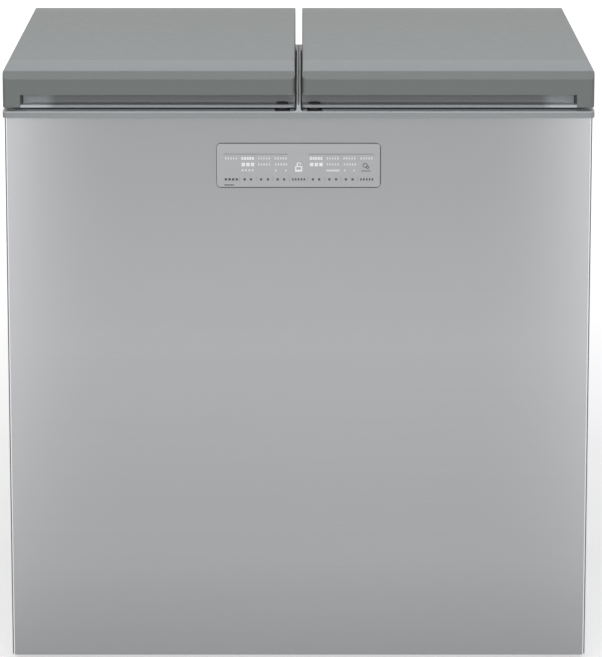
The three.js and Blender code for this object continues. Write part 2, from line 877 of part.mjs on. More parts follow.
function compressor() {
  const base = compressorPlateZ + compressorPlateThickness;
  const seam = base + compressorHeight * 0.42;
  const r = compressorRadius;
  const shell = turned([
    [0, base - slack],
    [r * 0.76, base - slack],
    [r * 0.95, base + compressorHeight * 0.08],
    [r, base + compressorHeight * 0.23],
    [r, seam],
    [r + compressorSeamLip, seam],
    [r + compressorSeamLip, seam + compressorSeamLip],
    [r * 0.99, seam + compressorSeamLip],
    [r * 0.96, base + compressorHeight * 0.75],
    [r * 0.72, base + compressorHeight * 0.95],
    [r * 0.3, base + compressorHeight],
    [0, base + compressorHeight],
  ], 24).translate([compressorX, compressorY, 0]);
  const plate = box(
    compressorX - compressorPlateWidth / 2,
    compressorX + compressorPlateWidth / 2,
    compressorY - compressorPlateDepth / 2,
    compressorY + compressorPlateDepth / 2,
    compressorPlateZ,
    base,
  );
  const terminals = box(
    compressorX + r * 0.3,
    compressorX + r * 0.3 + terminalBoxWidth,
    compressorY + r * 0.6,
    compressorY + r * 0.6 + terminalBoxDepth,
    base + terminalBoxRise,
    base + terminalBoxRise + terminalBoxHeight,
  );
  const dischargeStub = rod(
    'y',
    pipeRadius,
    compressorY - r - stubLength,
    compressorY - r * 0.5,
    dischargeX,
    dischargeZ,
    8,
  );
  const suctionStub = rod(
    'x',
    suctionPipeRadius,
    compressorX + r * 0.6,
    compressorX + r + stubLength,
    compressorY,
    suctionZ,
    8,
  );
  return shell.add(plate).add(terminals).add(dischargeStub).add(suctionStub);
}

const condenserPassZ = (pass) => basePanFloorZ + fit + condenserFirstPass + pass * condenserPassPitch;
const condenserStubY = condenserFrontY - condenserStub - pipeRadius;

// Serpentine tube through upright fins, with two end plates that stand on the base pan.
function condenser() {
  const rearY = condenserFrontY + condenserLength;
  const bottom = basePanFloorZ + fit;
  const bendReach = condenserPassPitch / 2;
  const corners = [[condenserX, condenserStubY, condenserPassZ(condenserPasses - 1)]];
  for (let pass = condenserPasses - 1; pass > 0; pass -= 1) {
    const goingBack = (condenserPasses - 1 - pass) % 2 === 0;
    const endY = goingBack ? rearY + bendReach - pipeRadius : condenserFrontY - bendReach + pipeRadius;
    corners.push([condenserX, endY, condenserPassZ(pass)]);
    corners.push([condenserX, endY, condenserPassZ(pass - 1)]);
  }
  corners.push([condenserX, condenserStubY, condenserPassZ(0)]);
  let body = tube(bent(corners, bendReach * 0.8, 3), pipeRadius, 6);
  const finPitch = condenserLength / (condenserFins - 1);
  for (let fin = 0; fin < condenserFins; fin += 1) {
    const atEnd = fin === 0 || fin === condenserFins - 1;
    const y = condenserFrontY + fin * finPitch;
    body = body.add(box(
      condenserX - condenserWidth / 2,
      condenserX + condenserWidth / 2,
      y - sheet / 2,
      y + sheet / 2,
      atEnd ? bottom : bottom + condenserFinLift,
      bottom + condenserHeight,
    ));
  }
  return body;
}

function dischargePipe() {
  const passZ = condenserPassZ(condenserPasses - 1);
  const startY = compressorY - compressorRadius - stubLength - fit;
  const frontY = startY - dischargeRun;
  const route = [
    [dischargeX, startY, dischargeZ],
    [dischargeX, frontY, dischargeZ],
    [condenserX + dischargeTurn, frontY, passZ],
    [condenserX, frontY, passZ],
    [condenserX, condenserStubY - fit, passZ],
  ];
  return tube(bent(route, pipeBendRadius), pipeRadius);
}

function suctionPipe() {
  const startX = compressorX + compressorRadius + stubLength + fit;
  const route = [
    [startX, compressorY, suctionZ],
    [startX + suctionRun, compressorY, suctionZ],
    [startX + suctionRun, compressorY, foamBottomZ - fit],
  ];
  return tube(bent(route, pipeBendRadius), suctionPipeRadius);
}

// The dryer with the liquid line brazed into its foot and the capillary into its top.
function dryer() {
  const line = tube(bent([
    [condenserX, condenserStubY - fit, condenserPassZ(0)],
    [condenserX, dryerY, condenserPassZ(0)],
    [dryerX, dryerY, condenserPassZ(0)],
    [dryerX, dryerY, dryerBottomZ + slack],
  ], pipeBendRadius), pipeRadius);
  const shell = turned([
    [0, dryerBottomZ],
    [pipeRadius + 1, dryerBottomZ],
    [dryerRadius, dryerBottomZ + dryerTaper],
    [dryerRadius, dryerBottomZ + dryerHeight - dryerTaper],
    [capillaryRadius + 1, dryerBottomZ + dryerHeight],
    [0, dryerBottomZ + dryerHeight],
  ], 16).translate([dryerX, dryerY, 0]);
  const top = dryerBottomZ + dryerHeight - slack;
  const capillary = rod('z', capillaryRadius, top, foamBottomZ - fit, dryerX, dryerY, 8);
  return line.add(shell).add(capillary);
}

const fanZ = basePanFloorZ + fit + shroudSize / 2;
const motorFrontX = fanX + motorSetback;

// One blade: a rounded paddle, pitched about its own length.
function fanBlade() {
  const paddle = new THREE.Shape();
  paddle.moveTo(-fanHubRadius * 0.45, fanHubRadius * 0.8);
  paddle.lineTo(fanHubRadius * 0.45, fanHubRadius * 0.8);
  paddle.quadraticCurveTo(fanRadius * 0.5, fanRadius * 0.7, fanRadius * 0.33, fanRadius * 0.93);
  paddle.quadraticCurveTo(0, fanRadius, -fanRadius * 0.3, fanRadius * 0.93);
  paddle.quadraticCurveTo(-fanRadius * 0.28, fanRadius * 0.6, -fanHubRadius * 0.45, fanHubRadius * 0.8);
  const geometry = extrude(paddle, fanBladeThickness, 4);
  geometry.translate(0, 0, -fanBladeThickness / 2);
  geometry.rotateY(THREE.MathUtils.degToRad(fanBladePitch));
  return solid(geometry);
}

// Drawn about Z and then turned so that the fan's axis runs along X.
function condenserFan() {
  const hubHalf = fanDepth / 2;
  const bore = motorShaftRadius + fit;
  let fan = turnedRing([
    [bore, -hubHalf],
    [fanHubRadius - 4, -hubHalf],
    [fanHubRadius, -hubHalf + 4],
    [fanHubRadius, hubHalf],
    [bore, hubHalf],
  ], 20);
  const hubCore = rod('z', fanHubRadius - slack, -hubHalf - slack, hubHalf + slack, 0, 0, 20);
  for (let blade = 0; blade < fanBlades; blade += 1) {
    const paddle = fanBlade().rotate([0, 0, (360 / fanBlades) * blade]);
    fan = fan.add(paddle.subtract(hubCore));
  }
  return fan.rotate([0, 90, 0]);
}

function fanMotor() {
  const can = rod('x', motorRadius, motorFrontX, motorFrontX + motorLength, fanY, fanZ, 24);
  const shaftX = motorFrontX - motorShaftLength - slack;
  const shaft = rod('x', motorShaftRadius, shaftX, motorFrontX + slack, fanY, fanZ, 12);
  return can.add(shaft);
}

function fanShroud() {
  const half = shroudSize / 2;
  const bore = fanRadius + fanTipGap;
  const plateX = fanX;
  const ringX = fanX - fanDepth;
  const plate = box(plateX, plateX + shroudPlate, fanY - half, fanY + half, fanZ - half, fanZ + half);
  const ring = rod('x', bore + shroudRingWall, ringX, plateX + slack, fanY, fanZ, 28);
  const hole = rod('x', bore, ringX - slack, plateX + shroudPlate + slack, fanY, fanZ, 28);
  let shroud = plate.add(ring).subtract(hole);
  const cupInner = motorRadius + fit;
  const cupX = plateX + spiderSetback;
  let spider = rod('x', cupInner + shroudRingWall, cupX, cupX + motorCupDepth, fanY, fanZ, 24);
  for (let spoke = 0; spoke < spokeCount; spoke += 1) {
    const tip = bore + shroudRingWall / 2;
    const arm = box(cupX, plateX + shroudPlate, -spokeWidth / 2, spokeWidth / 2, cupInner, tip);
    spider = spider.add(arm.rotate([(360 / spokeCount) * spoke, 0, 0]).translate([0, fanY, fanZ]));
  }
  spider = spider.subtract(rod('x', cupInner, plateX - slack, plateX + motorLength + slack, fanY, fanZ, 24));
  return shroud.add(spider);
}

const boxRearY = foamRearY - basePanWall - boxRearGap;

function mainBoardBox() {
  const bottom = basePanFloorZ + fit;
  const outer = box(
    boxX - boxWidth / 2,
    boxX + boxWidth / 2,
    boxRearY - boxDepth,
    boxRearY,
    bottom,
    bottom + boxHeight,
  );
  const inner = box(
    boxX - boxWidth / 2 + boxWall,
    boxX + boxWidth / 2 - boxWall,
    boxRearY - boxDepth + boxWall,
    boxRearY - boxWall,
    bottom + boxWall,
    bottom + boxHeight + slack,
  );
  return outer.subtract(inner);
}

function mainBoard() {
  const bottom = basePanFloorZ + fit + boxWall + fit;
  const half = boxWidth / 2 - boxWall - fit;
  const middleY = boxRearY - boxDepth / 2;
  const top = bottom + boxHeight - mainBoardShort;
  return box(boxX - half, boxX + half, middleY, middleY + boardThickness, bottom, top);
}

// The form of a stamped louvre, drawn at the origin on the sheet's outer face, from a place
// behind that face outwards.
function louvreForm(length, height, depth, backY) {
  const shape = new THREE.Shape();
  shape.moveTo(backY, 0);
  shape.lineTo(depth, 0);
  shape.quadraticCurveTo(depth, height * 0.7, 0, height);
  shape.lineTo(backY, height);
  return prismX(shape, -length / 2, length / 2);
}

function machineRoomCover() {
  const bottom = panelBottomZ + fit;
  const top = rearPanelBottomZ - fit;
  let cover = box(-bodyHalf, bodyHalf, bodyRearY - sheet, bodyRearY, bottom, top);
  const hood = louvreForm(louvreLength, louvreHeight, louvreDepth, -sheet / 2);
  const hollowLength = louvreLength - 2 * sheet;
  const hollowDepth = louvreDepth - sheet;
  // The hood's hollow goes through the sheet and stays open at its lower edge.
  const hollow = louvreForm(hollowLength, louvreHeight - sheet, hollowDepth, -2 * sheet).add(
    box(-hollowLength / 2, hollowLength / 2, -2 * sheet, hollowDepth, -slack, slack),
  );
  const fieldHeight = (louvreRows - 1) * louvreRowPitch + louvreHeight;
  const firstZ = (bottom + top - fieldHeight) / 2;
  for (const centre of louvreFieldCentres) {
    for (let column = 0; column < louvreColumns; column += 1) {
      for (let row = 0; row < louvreRows; row += 1) {
        const x = centre + (column - (louvreColumns - 1) / 2) * louvreColumnPitch;
        const place = [x, bodyRearY, firstZ + row * louvreRowPitch];
        cover = cover.add(hood.translate(place)).subtract(hollow.translate(place));
      }
    }
  }
  const grommetHole = rod(
    'y',
    grommetNeckRadius + fit,
    bodyRearY - sheet - slack,
    bodyRearY + slack,
    grommetX,
    grommetZ,
  );
  return cover.subtract(grommetHole);
}

// Drawn about Z with its groove round the cover's sheet, and then turned to face the back.
function cordGrommet() {
  const groove = sheet / 2 + fit;
  const ring = turnedRing([
    [grommetBore, -grommetHalf],
    [grommetRadius, -grommetHalf],
    [grommetRadius, -groove],
    [grommetNeckRadius, -groove],
    [grommetNeckRadius, groove],
    [grommetRadius, groove],
    [grommetRadius - grommetEdge, grommetHalf],
    [grommetBore, grommetHalf],
  ]);
  return ring.rotate([-90, 0, 0]).translate([grommetX, bodyRearY - sheet / 2, grommetZ]);
}

// A hollow spacer, open towards the wall.
function wallSpacer() {
  const half = spacerWidth / 2;
  const high = spacerHeight / 2;
  const outer = prismY(
    roundedRect(-half, half, -high, high, spacerCornerRadius),
    bodyRearY + fit,
    bodyRearY + spacerDepth,
  );
  const wall = spacerWall;
  const inner = prismY(
    roundedRect(-half + wall, half - wall, -high + wall, high - wall, spacerCornerRadius - wall),
    bodyRearY + fit + wall,
    bodyRearY + spacerDepth + slack,
  );
  return outer.subtract(inner);
}

// ---- Hinges, drawn about their own axis ----

const panelFromAxis = fit - hingeBehindPanel;
const hingeEarInner = hingeBarrelHalf + hingeEarGap;

function hingeBase() {
  const plateBack = panelFromAxis + hingePlateThickness;
  let base = box(
    -hingePlateHalf,
    hingePlateHalf,
    panelFromAxis,
    plateBack,
    -hingePlateBottom,
    -hingePlateTop,
  );
  for (const x of [hingeEarInner, -hingeEarInner - hingeEarThickness]) {
    const disc = rod('x', hingeEarRadius, x, x + hingeEarThickness, 0, 0);
    const webShape = new THREE.Shape();
    webShape.moveTo(panelFromAxis, -hingePlateBottom * 0.75);
    webShape.lineTo(plateBack, -hingePlateBottom * 0.75);
    webShape.lineTo(hingeEarDepth, -hingePlateTop * 2);
    webShape.lineTo(hingeEarDepth, 0);
    webShape.lineTo(panelFromAxis, 0);
    base = base.add(disc).add(prismX(webShape, x, x + hingeEarThickness));
  }
  const reach = hingeEarInner + hingeEarThickness + slack;
  return base.subtract(rod('x', hingePinRadius + fit, -reach, reach, 0, 0, 20));
}

function hingePin() {
  const earOuter = hingeEarInner + hingeEarThickness;
  const shaft = rod('x', hingePinRadius, -earOuter - slack, earOuter + fit + slack, 0, 0, 20);
  const head = rod(
    'x',
    hingePinHeadRadius,
    earOuter + fit,
    earOuter + fit + hingePinHeadLength,
    0,
    0,
    20,
  );
  return shaft.add(head);
}

function hingeArm() {
  const leafTop = -hingeAxisRise - fit;
  const barrel = rod('x', hingeBarrelRadius, -hingeBarrelHalf, hingeBarrelHalf, 0, 0, 20);
  const leaf = box(
    -hingeBarrelHalf,
    hingeBarrelHalf,
    -hingeLeafReach,
    0,
    leafTop - hingeLeafThickness,
    leafTop,
  );
  const reach = hingeBarrelHalf + slack;
  const bore = rod('x', hingePinRadius + runningFit, -reach, reach, 0, 0, 20);
  return barrel.add(leaf).subtract(bore);
}

// ---- Lids, drawn on the right ----

// The lid's outer form moved inwards by an inset, from a given height up.
function lidForm(inset, bottomZ) {
  const frontY = lidFrontY + inset;
  const rearY = lidRearY - inset;
  const topZ = overallHeight - inset;
  const faceTopZ = lidBottomZ + lidFaceHeight - inset / 2;
  const side = new THREE.Shape();
  side.moveTo(frontY, bottomZ);
  side.lineTo(rearY, bottomZ);
  side.lineTo(rearY, topZ - rearBandDrop - rearBevelHeight);
  const bandShare = 1 - rearBevelDepth / rearBandDepth;
  side.quadraticCurveTo(rearY, topZ - rearBandDrop, rearY - rearBevelDepth, topZ - rearBandDrop * bandShare);
  side.lineTo(rearY - rearBandDepth, topZ);
  side.lineTo(frontY + frontBandDepth, topZ);
  side.lineTo(frontY + frontBevelDepth, topZ - frontBandDrop);
  side.lineTo(frontY, faceTopZ);
  const front = new THREE.Shape();
  const edge = Math.max(lidTopEdgeRadius - inset, 1);
  front.moveTo(lidInnerX + inset, bottomZ);
  front.lineTo(lidOuterX - inset, bottomZ);
  front.lineTo(lidOuterX - inset, topZ - edge);
  front.absarc(lidOuterX - inset - edge, topZ - edge, edge, 0, Math.PI / 2);
  front.lineTo(lidInnerX + inset + edge, topZ);
  front.absarc(lidInnerX + inset + edge, topZ - edge, edge, Math.PI / 2, Math.PI);
  const corner = Math.max(lidCornerRadius - inset, 1);
  const plan = roundedRect(lidInnerX + inset, lidOuterX - inset, frontY, rearY, corner);
  const curveSteps = inset > 0 ? 3 : 6;
  const alongX = prismX(side, lidInnerX + inset, lidOuterX - inset, curveSteps);
  const alongY = prismY(front, frontY, rearY, curveSteps / 3);
  return alongX.intersect(alongY).intersect(prismZ(plan, bottomZ, topZ, curveSteps / 3));
}

const handleOuterX = recessOuterX + mouldedWall;
const handleBackY = recessBackY + mouldedWall;
const handleTopZ = recessTopZ + mouldedWall;
const handleFrontY = lidFrontY + mouldedWall + fit;

// The handle moulding's outer block, grown on all sides by a margin.
function handleBlock(grow) {
  return box(
    lidInnerX - grow,
    handleOuterX + grow,
    handleFrontY - grow,
    handleBackY + grow,
    lidBottomZ - grow,
    handleTopZ + grow,
  );
}

const hingeXs = [lidMiddleX - hingeSpread, lidMiddleX + hingeSpread];

// The pockets over the hinges, grown by a wall.
function hingePockets(grow) {
  const pockets = hingeXs.map((x) => box(
    x - hingePocketHalf - grow,
    x + hingePocketHalf + grow,
    hingeY - hingePocketClear - grow,
    lidRearY + (grow > 0 ? 0 : slack),
    lidBottomZ - slack,
    hingeZ + hingePocketClear + grow,
  ));
  return pockets[0].add(pockets[1]);
}

function lidCover() {
  const shell = lidForm(0, lidBottomZ).subtract(lidForm(mouldedWall, lidBottomZ - slack));
  const walls = hingePockets(mouldedWall).intersect(lidForm(0, lidBottomZ));
  const cover = shell.add(walls).subtract(hingePockets(0));
  const frontOpening = box(
    lidInnerX - slack,
    recessOuterX,
    lidFrontY - slack,
    lidFrontY + mouldedWall,
    lidBottomZ - slack,
    recessTopZ,
  );
  const innerEnd = box(
    lidInnerX - slack,
    lidInnerX + lidCornerRadius,
    lidFrontY + mouldedWall,
    handleBackY + fit,
    lidBottomZ - slack,
    handleTopZ + fit,
  );
  return cover.subtract(frontOpening).subtract(innerEnd);
}

// The moulded pocket that the fingers go into, with its ledge, rounded end and bumper hole.
function lidHandle() {
  const recess = new THREE.Shape();
  recess.moveTo(lidInnerX - slack, lidFrontY - slack);
  recess.lineTo(recessOuterX, lidFrontY - slack);
  recess.lineTo(recessOuterX, handleFrontY);
  const turn = recessBackY - handleFrontY;
  recess.absarc(recessOuterX - turn, handleFrontY, turn, 0, Math.PI / 2);
  recess.lineTo(lidInnerX - slack, recessBackY);
  const ledge = box(
    lidInnerX,
    recessOuterX - fit,
    lidFrontY,
    handleFrontY + slack,
    lidBottomZ,
    recessBottomZ,
  );
  const bumperHole = rod(
    'z',
    bumperNeckRadius + fit,
    lidBottomZ - slack,
    recessBottomZ + slack,
    bumperX,
    bumperY,
    24,
  );
  const pocket = handleBlock(0).subtract(prismZ(recess, recessBottomZ, recessTopZ, 8));
  return pocket.add(ledge).subtract(bumperHole).intersect(lidForm(0, lidBottomZ));
}

// A rubber button that is pushed through the ledge's hole and rests on the top frame.
function lidBumper() {
  const bottom = topFrameTopZ + fit;
  const neckBottom = lidBottomZ - fit;
  const neckTop = recessBottomZ + fit;
  return turned([
    [0, bottom],
    [bumperRadius - 1, bottom],
    [bumperRadius, bottom + 1],
    [bumperRadius, neckBottom],
    [bumperNeckRadius, neckBottom],
    [bumperNeckRadius, neckTop],
    [bumperRadius, neckTop],
    [bumperRadius - 0.5, neckTop + bumperHeadHeight],
    [0, neckTop + bumperHeadHeight],
  ]).translate([bumperX, bumperY, 0]);
}

// The lid's plug, drawn in by an inset from its outer wall.
function plug(inset, bottomZ, topZ) {
  const shape = roundedRect(
    wellInnerX + plugClearance + inset,
    wellOuterX - plugClearance - inset,
    wellFrontY + plugClearance + inset,
    wellRearY - plugClearance - inset,
    plugCornerRadius - inset,
  );
  return prismZ(shape, bottomZ, topZ);
}

const plugBottomZ = lidBottomZ - plugDepth;
const innerPanelTopZ = lidBottomZ + mouldedWall;

function lidInnerPanel() {
  const wall = mouldedWall + fit;
  const flange = box(
    lidInnerX + wall,
    lidOuterX - wall,
    lidFrontY + wall,
    lidRearY - wall,
    lidBottomZ,
    innerPanelTopZ,
  ).intersect(lidForm(wall, lidBottomZ));
  const panel = flange.subtract(handleBlock(fit)).subtract(hingePockets(wall));
  const pan = plug(0, plugBottomZ, innerPanelTopZ);
  return panel.add(pan).subtract(plug(mouldedWall, plugBottomZ + mouldedWall, innerPanelTopZ + slack));
}

function lidFoam() {
  const wall = mouldedWall + fit;
  const upper = lidForm(wall, innerPanelTopZ + fit).subtract(handleBlock(fit)).subtract(hingePockets(wall));
  return upper.add(plug(wall, plugBottomZ + wall, innerPanelTopZ + 2 * slack));
}

function lidGasket() {
  const ring = (width, z0, z1) => {
    const middle = gasketOffset + gasketWidth / 2;
    const outer = prismZ(wellShape(middle + width / 2), z0, z1);
    return outer.subtract(prismZ(wellShape(middle - width / 2), z0 - slack, z1 + slack));
  };
  const bottom = topFrameTopZ + fit;
  const bulb = ring(gasketWidth, bottom, bottom + gasketBulbHeight);
  const root = ring(gasketRootWidth, bottom + gasketBulbHeight - fit, lidBottomZ - fit);
  return bulb.add(root);
}

// ---- Assembly ----

const group = new THREE.Group();

function place(mesh, x, y, z) {
  mesh.position.set(x, y, z);
  group.add(mesh);
}

group.add(piece('front_panel', frontPanel(), frontSteel));
group.add(piece('rear_panel', rearPanel(), galvanised));
group.add(piece('base_frame', baseFrame(), galvanised));
group.add(piece('cabinet_foam', cabinetFoam(), insulation));
group.add(piece('floor_plate', floorPlate(), galvanised));
group.add(piece('top_frame', topFrame(), framePlastic));
group.add(piece('control_fascia', controlFascia(), fasciaFilm));
group.add(piece('control_housing', controlHousing(), blackPlastic));
group.add(piece('display_board', displayBoard(), circuitBoard));
group.add(piece('compressor', compressor(), blackPaint));
group.add(piece('condenser', condenser(), copper));
group.add(piece('discharge_pipe', dischargePipe(), copper));
group.add(piece('suction_pipe', suctionPipe(), copper));
group.add(piece('dryer', dryer(), copper));
group.add(piece('fan_shroud', fanShroud(), blackPlastic));
group.add(piece('fan_motor', fanMotor(), galvanised));
place(piece('condenser_fan', condenserFan(), blackPlastic), fanX - fanDepth / 2, fanY, fanZ);
group.add(piece('main_board_box', mainBoardBox(), whitePlastic));
group.add(piece('main_board', mainBoard(), circuitBoard));
group.add(piece('machine_room_cover', machineRoomCover(), galvanised));
group.add(piece('cord_grommet', cordGrommet(), rubber));

for (const [name, side] of sides) {
  group.add(piece(`${name}_side_panel`, onSide(side, sidePanel()), sideSteel));
  group.add(piece(`${name}_liner`, onSide(side, liner()), linerMetal));
  group.add(piece(`${name}_evaporator`, onSide(side, evaporator()), copper));
  place(piece(`${name}_front_foot`, frontFoot(), rubber), side * footX, footY, 0);
  place(piece(`${name}_rear_roller`, rearRoller(), whitePlastic), side * rollerX, rollerY, rollerRadius);
  const axle = piece(`${name}_roller_axle`, onSide(side, rollerAxle()), hingeSteel);
  place(axle, side * rollerX, rollerY, rollerRadius);
  place(piece(`${name}_wall_spacer`, wallSpacer(), blackPlastic), side * spacerX, 0, spacerZ);
  group.add(piece(`${name}_lid_cover`, onSide(side, lidCover()), lidPaint));
  group.add(piece(`${name}_lid_handle`, onSide(side, lidHandle()), handlePlastic));
  group.add(piece(`${name}_lid_bumper`, onSide(side, lidBumper()), rubber));
  group.add(piece(`${name}_lid_inner_panel`, onSide(side, lidInnerPanel()), whitePlastic));
  group.add(piece(`${name}_lid_foam`, onSide(side, lidFoam()), insulation));
  group.add(piece(`${name}_lid_gasket`, onSide(side, lidGasket()), gasketRubber));
  for (const [end, x] of [['inner', hingeXs[0]], ['outer', hingeXs[1]]]) {
    const hinge = `${name}_${end}_hinge`;
    place(piece(`${hinge}_base`, onSide(side, hingeBase()), hingeSteel), side * x, hingeY, hingeZ);
    place(piece(`${hinge}_pin`, onSide(side, hingePin()), hingeSteel), side * x, hingeY, hingeZ);
    place(piece(`${hinge}_arm`, onSide(side, hingeArm()), hingeSteel), side * x, hingeY, hingeZ);
  }
}

export default group;
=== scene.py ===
"""Looks of a chest-type kimchi refrigerator with two lids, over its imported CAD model. Metres, +Z up."""
import json
import math

import bmesh
import bpy
from mathutils import Matrix, Vector

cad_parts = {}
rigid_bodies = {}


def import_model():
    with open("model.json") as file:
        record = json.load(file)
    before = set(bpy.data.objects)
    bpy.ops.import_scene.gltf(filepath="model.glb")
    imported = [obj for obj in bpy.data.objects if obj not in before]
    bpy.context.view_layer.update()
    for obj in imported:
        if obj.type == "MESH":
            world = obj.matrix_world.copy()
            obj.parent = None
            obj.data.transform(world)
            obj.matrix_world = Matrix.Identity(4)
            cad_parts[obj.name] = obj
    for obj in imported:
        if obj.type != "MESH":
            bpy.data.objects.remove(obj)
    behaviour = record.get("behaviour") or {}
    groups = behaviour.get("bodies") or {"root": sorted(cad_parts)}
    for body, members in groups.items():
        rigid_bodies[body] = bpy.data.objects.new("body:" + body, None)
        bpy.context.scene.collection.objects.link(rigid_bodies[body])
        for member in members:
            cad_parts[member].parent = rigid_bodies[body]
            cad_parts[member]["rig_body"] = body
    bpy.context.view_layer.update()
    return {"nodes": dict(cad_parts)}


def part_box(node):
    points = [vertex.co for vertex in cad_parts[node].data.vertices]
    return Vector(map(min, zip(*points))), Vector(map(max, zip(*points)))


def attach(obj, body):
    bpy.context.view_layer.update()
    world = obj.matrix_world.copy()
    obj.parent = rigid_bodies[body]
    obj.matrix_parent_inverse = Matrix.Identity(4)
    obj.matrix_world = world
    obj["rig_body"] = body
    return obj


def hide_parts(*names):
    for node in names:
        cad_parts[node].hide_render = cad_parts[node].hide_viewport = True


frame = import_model()
MM = 0.001
SIDES = (("left", -1), ("right", 1))

# Colours as they look in the photograph, sRGB
BRUSHED_FRONT = "#9e9fa1"
LID_GREY = "#666b69"
LID_SHEEN_GREY = "#858c91"
HANDLE_GREY = "#909396"
HANDLE_END_LIT_GREY = "#c2c5c8"
RECESS_SHADOW_GREY = "#34373a"
FRAME_GREY = "#929597"
FRAME_EDGE_HIGHLIGHT = "#b2b5b8"
LAND_GREY = "#53585b"
SIDE_GREY = "#8f9193"
FASCIA_SILVER = "#a3a4a6"
FILM_EDGE_SHADE_GREY = "#5f6264"
ZINC = "#b3b7b9"
LINER_SILVER = "#d6d9da"
FOAM_CREAM = "#e6dcb4"
RUBBER_BLACK = "#2b2c2d"
GASKET_GREY = "#8a8c8e"
COPPER = "#b4704a"
ENAMEL_BLACK = "#1d1e20"
PLASTIC_BLACK = "#26272a"
PLASTIC_WHITE = "#e4e4e0"
BOARD_GREEN = "#2f6b3c"
NICKEL = "#c4c6c8"
MARK_WHITE = "#f4f5f6"
MARK_DIM = "#dcdddf"
MARK_GREY = "#7f8082"
MARK_DARK = "#3b3c3e"

# The photograph's frame and the camera fitted to it
PHOTO_LONG_SIDE_PX = 657
FOCAL_LENGTH_PX = 3953
SENSOR_MM = 36
CAMERA_PLACE = (0.0036, -6.1956, 1.7363)
CAMERA_PITCH = 0.2058


def rgb(code):
    """A colour code as the linear values that a shader takes."""
    parts = [int(code[i:i + 2], 16) / 255 for i in (1, 3, 5)]
    return tuple(c / 12.92 if c <= 0.04045 else ((c + 0.055) / 1.055) ** 2.4 for c in parts)


# The top frame's raised land starts at this height, and the strip between the lids is this wide each way
LAND_BOTTOM = 0.8535
STRIP_HALF = 0.0068
# The top frame's rounded upper edge starts here and carries a painted highlight
RIM_EDGE = 0.8510
# The fascia film's painted edge shade starts at these places
FILM_BOTTOM = 0.7390
FILM_TOP = 0.8037
FILM_RIGHT = 0.1210
# The lids' tops lie above this height, and their front band lies before this depth
LID_TOP = 0.9119
LID_BAND = -0.283
# The painted highlight line where the front sheet starts to fold back
FOLD_LINE = 0.4342
FOLD_LINE_HALF = 0.0011
# The front sheet gets paler this far from its middle, a painted reflection, and darker below one height and above
# another, painted shade
PALE_FROM = 0.2185
FOOT_SHADE_TOP = 0.16
HEAD_SHADE_START = 0.5
HEAD_SHADE_RISE = 0.34
# The lids' tops get a painted sheen, paler from here forwards, over this depth
LID_PALE_REAR = 0.36
LID_PALE_RUN = 0.74
# The finger recess ends in a painted shadow line above its ledge, and in the lid's colour past it
LEDGE_TOP = 0.8630
RECESS_END = 0.4108
RECESS_LINE = 0.0016
# The recess gets paler this far from the middle, over this width, as painted light on its outer end
RECESS_PALE_FROM = 0.362
RECESS_PALE_RUN = 0.014
# Scale of the spark-eroded grain on moulded plastic
SPARK_GRAIN = 1500.0
# The floor is dim to this far from the middle, and white after this much more
DIM_REACH = 1.2
DIM_FADE = 3.0

# ---- Shaders ----

class Value:
    """A node's output. Arithmetic on it adds Math nodes."""

    def __init__(self, finish, socket):
        self.finish = finish
        self.socket = socket

    def math(self, operation, *others, **settings):
        return self.finish.node("ShaderNodeMath", {"operation": operation, **settings}, *others)

    def __add__(self, other):
        return self.math("ADD", self, other)

    __radd__ = __add__

    def __mul__(self, other):
        return self.math("MULTIPLY", self, other)

    __rmul__ = __mul__

    def __sub__(self, other):
        return self.math("SUBTRACT", self, other)

    def __rsub__(self, other):
        return self.math("SUBTRACT", other, self)

    def __truediv__(self, other):
        return self.math("DIVIDE", self, other)

    def absolute(self):
        return self.math("ABSOLUTE", self)

    def above(self, edge):
        return self.math("GREATER_THAN", self, edge)

    def at_least(self, floor):
        return self.math("MAXIMUM", self, floor)

    def clamped(self):
        return self.math("MULTIPLY", self, 1.0, use_clamp=True)


class Finish:
    """A material built on one Principled shader."""

    def __init__(self, name):
        self.material = bpy.data.materials.new(name)
        self.material.use_nodes = True
        self.tree = self.material.node_tree
        self.shader = next(n for n in self.tree.nodes if n.type == "BSDF_PRINCIPLED")
        self.place = self.node("ShaderNodeTexCoord", {}, output="Object")

    def node(self, kind, settings, *values, output=0, **named):
        """Adds a node, sets it, and feeds its inputs with values or other nodes' outputs."""
        made = self.tree.nodes.new(kind)
        for key, setting in settings.items():
            setattr(made, key, setting)
        for index, value in enumerate(values):
            self.feed(made.inputs[index], value)
        for key, value in named.items():
            self.feed(made.inputs[key.replace("_", " ")], value)
        return Value(self, made.outputs[output])

    def feed(self, socket, value):
        if isinstance(value, Value):
            self.tree.links.new(value.socket, socket)
        elif isinstance(value, tuple) and len(value) == 3 and socket.type == "RGBA":
            socket.default_value = (*value, 1)
        else:
            socket.default_value = value

    def set(self, **inputs):
        """Sets or links the shader's own sockets."""
        for key, value in inputs.items():
            self.feed(self.shader.inputs[key.replace("_", " ")], value)

    def stretched(self, x=1.0, y=1.0, z=1.0):
        """The object's coordinates with each axis scaled."""
        return self.node("ShaderNodeMapping", {}, self.place, Scale=(x, y, z))

    def noise(self, scale, detail=2.0, roughness=0.5, at=None):
        return self.node(
            "ShaderNodeTexNoise", {}, Vector=at or self.place, Scale=scale, Detail=detail, Roughness=roughness
        )

    def axis(self, name):
        """One coordinate of the place on the object."""
        return self.node("ShaderNodeSeparateXYZ", {}, self.place, output=name)

    def mix(self, factor, first, second):
        """A colour between two others."""
        made = self.tree.nodes.new("ShaderNodeMix")
        made.data_type = "RGBA"
        self.feed(made.inputs["Factor"], factor)
        self.feed(made.inputs[6], first)
        self.feed(made.inputs[7], second)
        return Value(self, made.outputs[2])

    def tint(self, colour, darker, lighter, amount):
        """The colour between a darker and a lighter share of itself, by an amount from 0 to 1."""
        low = tuple(c * darker for c in colour)
        high = tuple(min(c * lighter, 1) for c in colour)
        return self.mix(amount, low, high)

    def bump(self, height, strength, distance):
        return self.node("ShaderNodeBump", {}, Strength=strength, Distance=distance, Height=height)


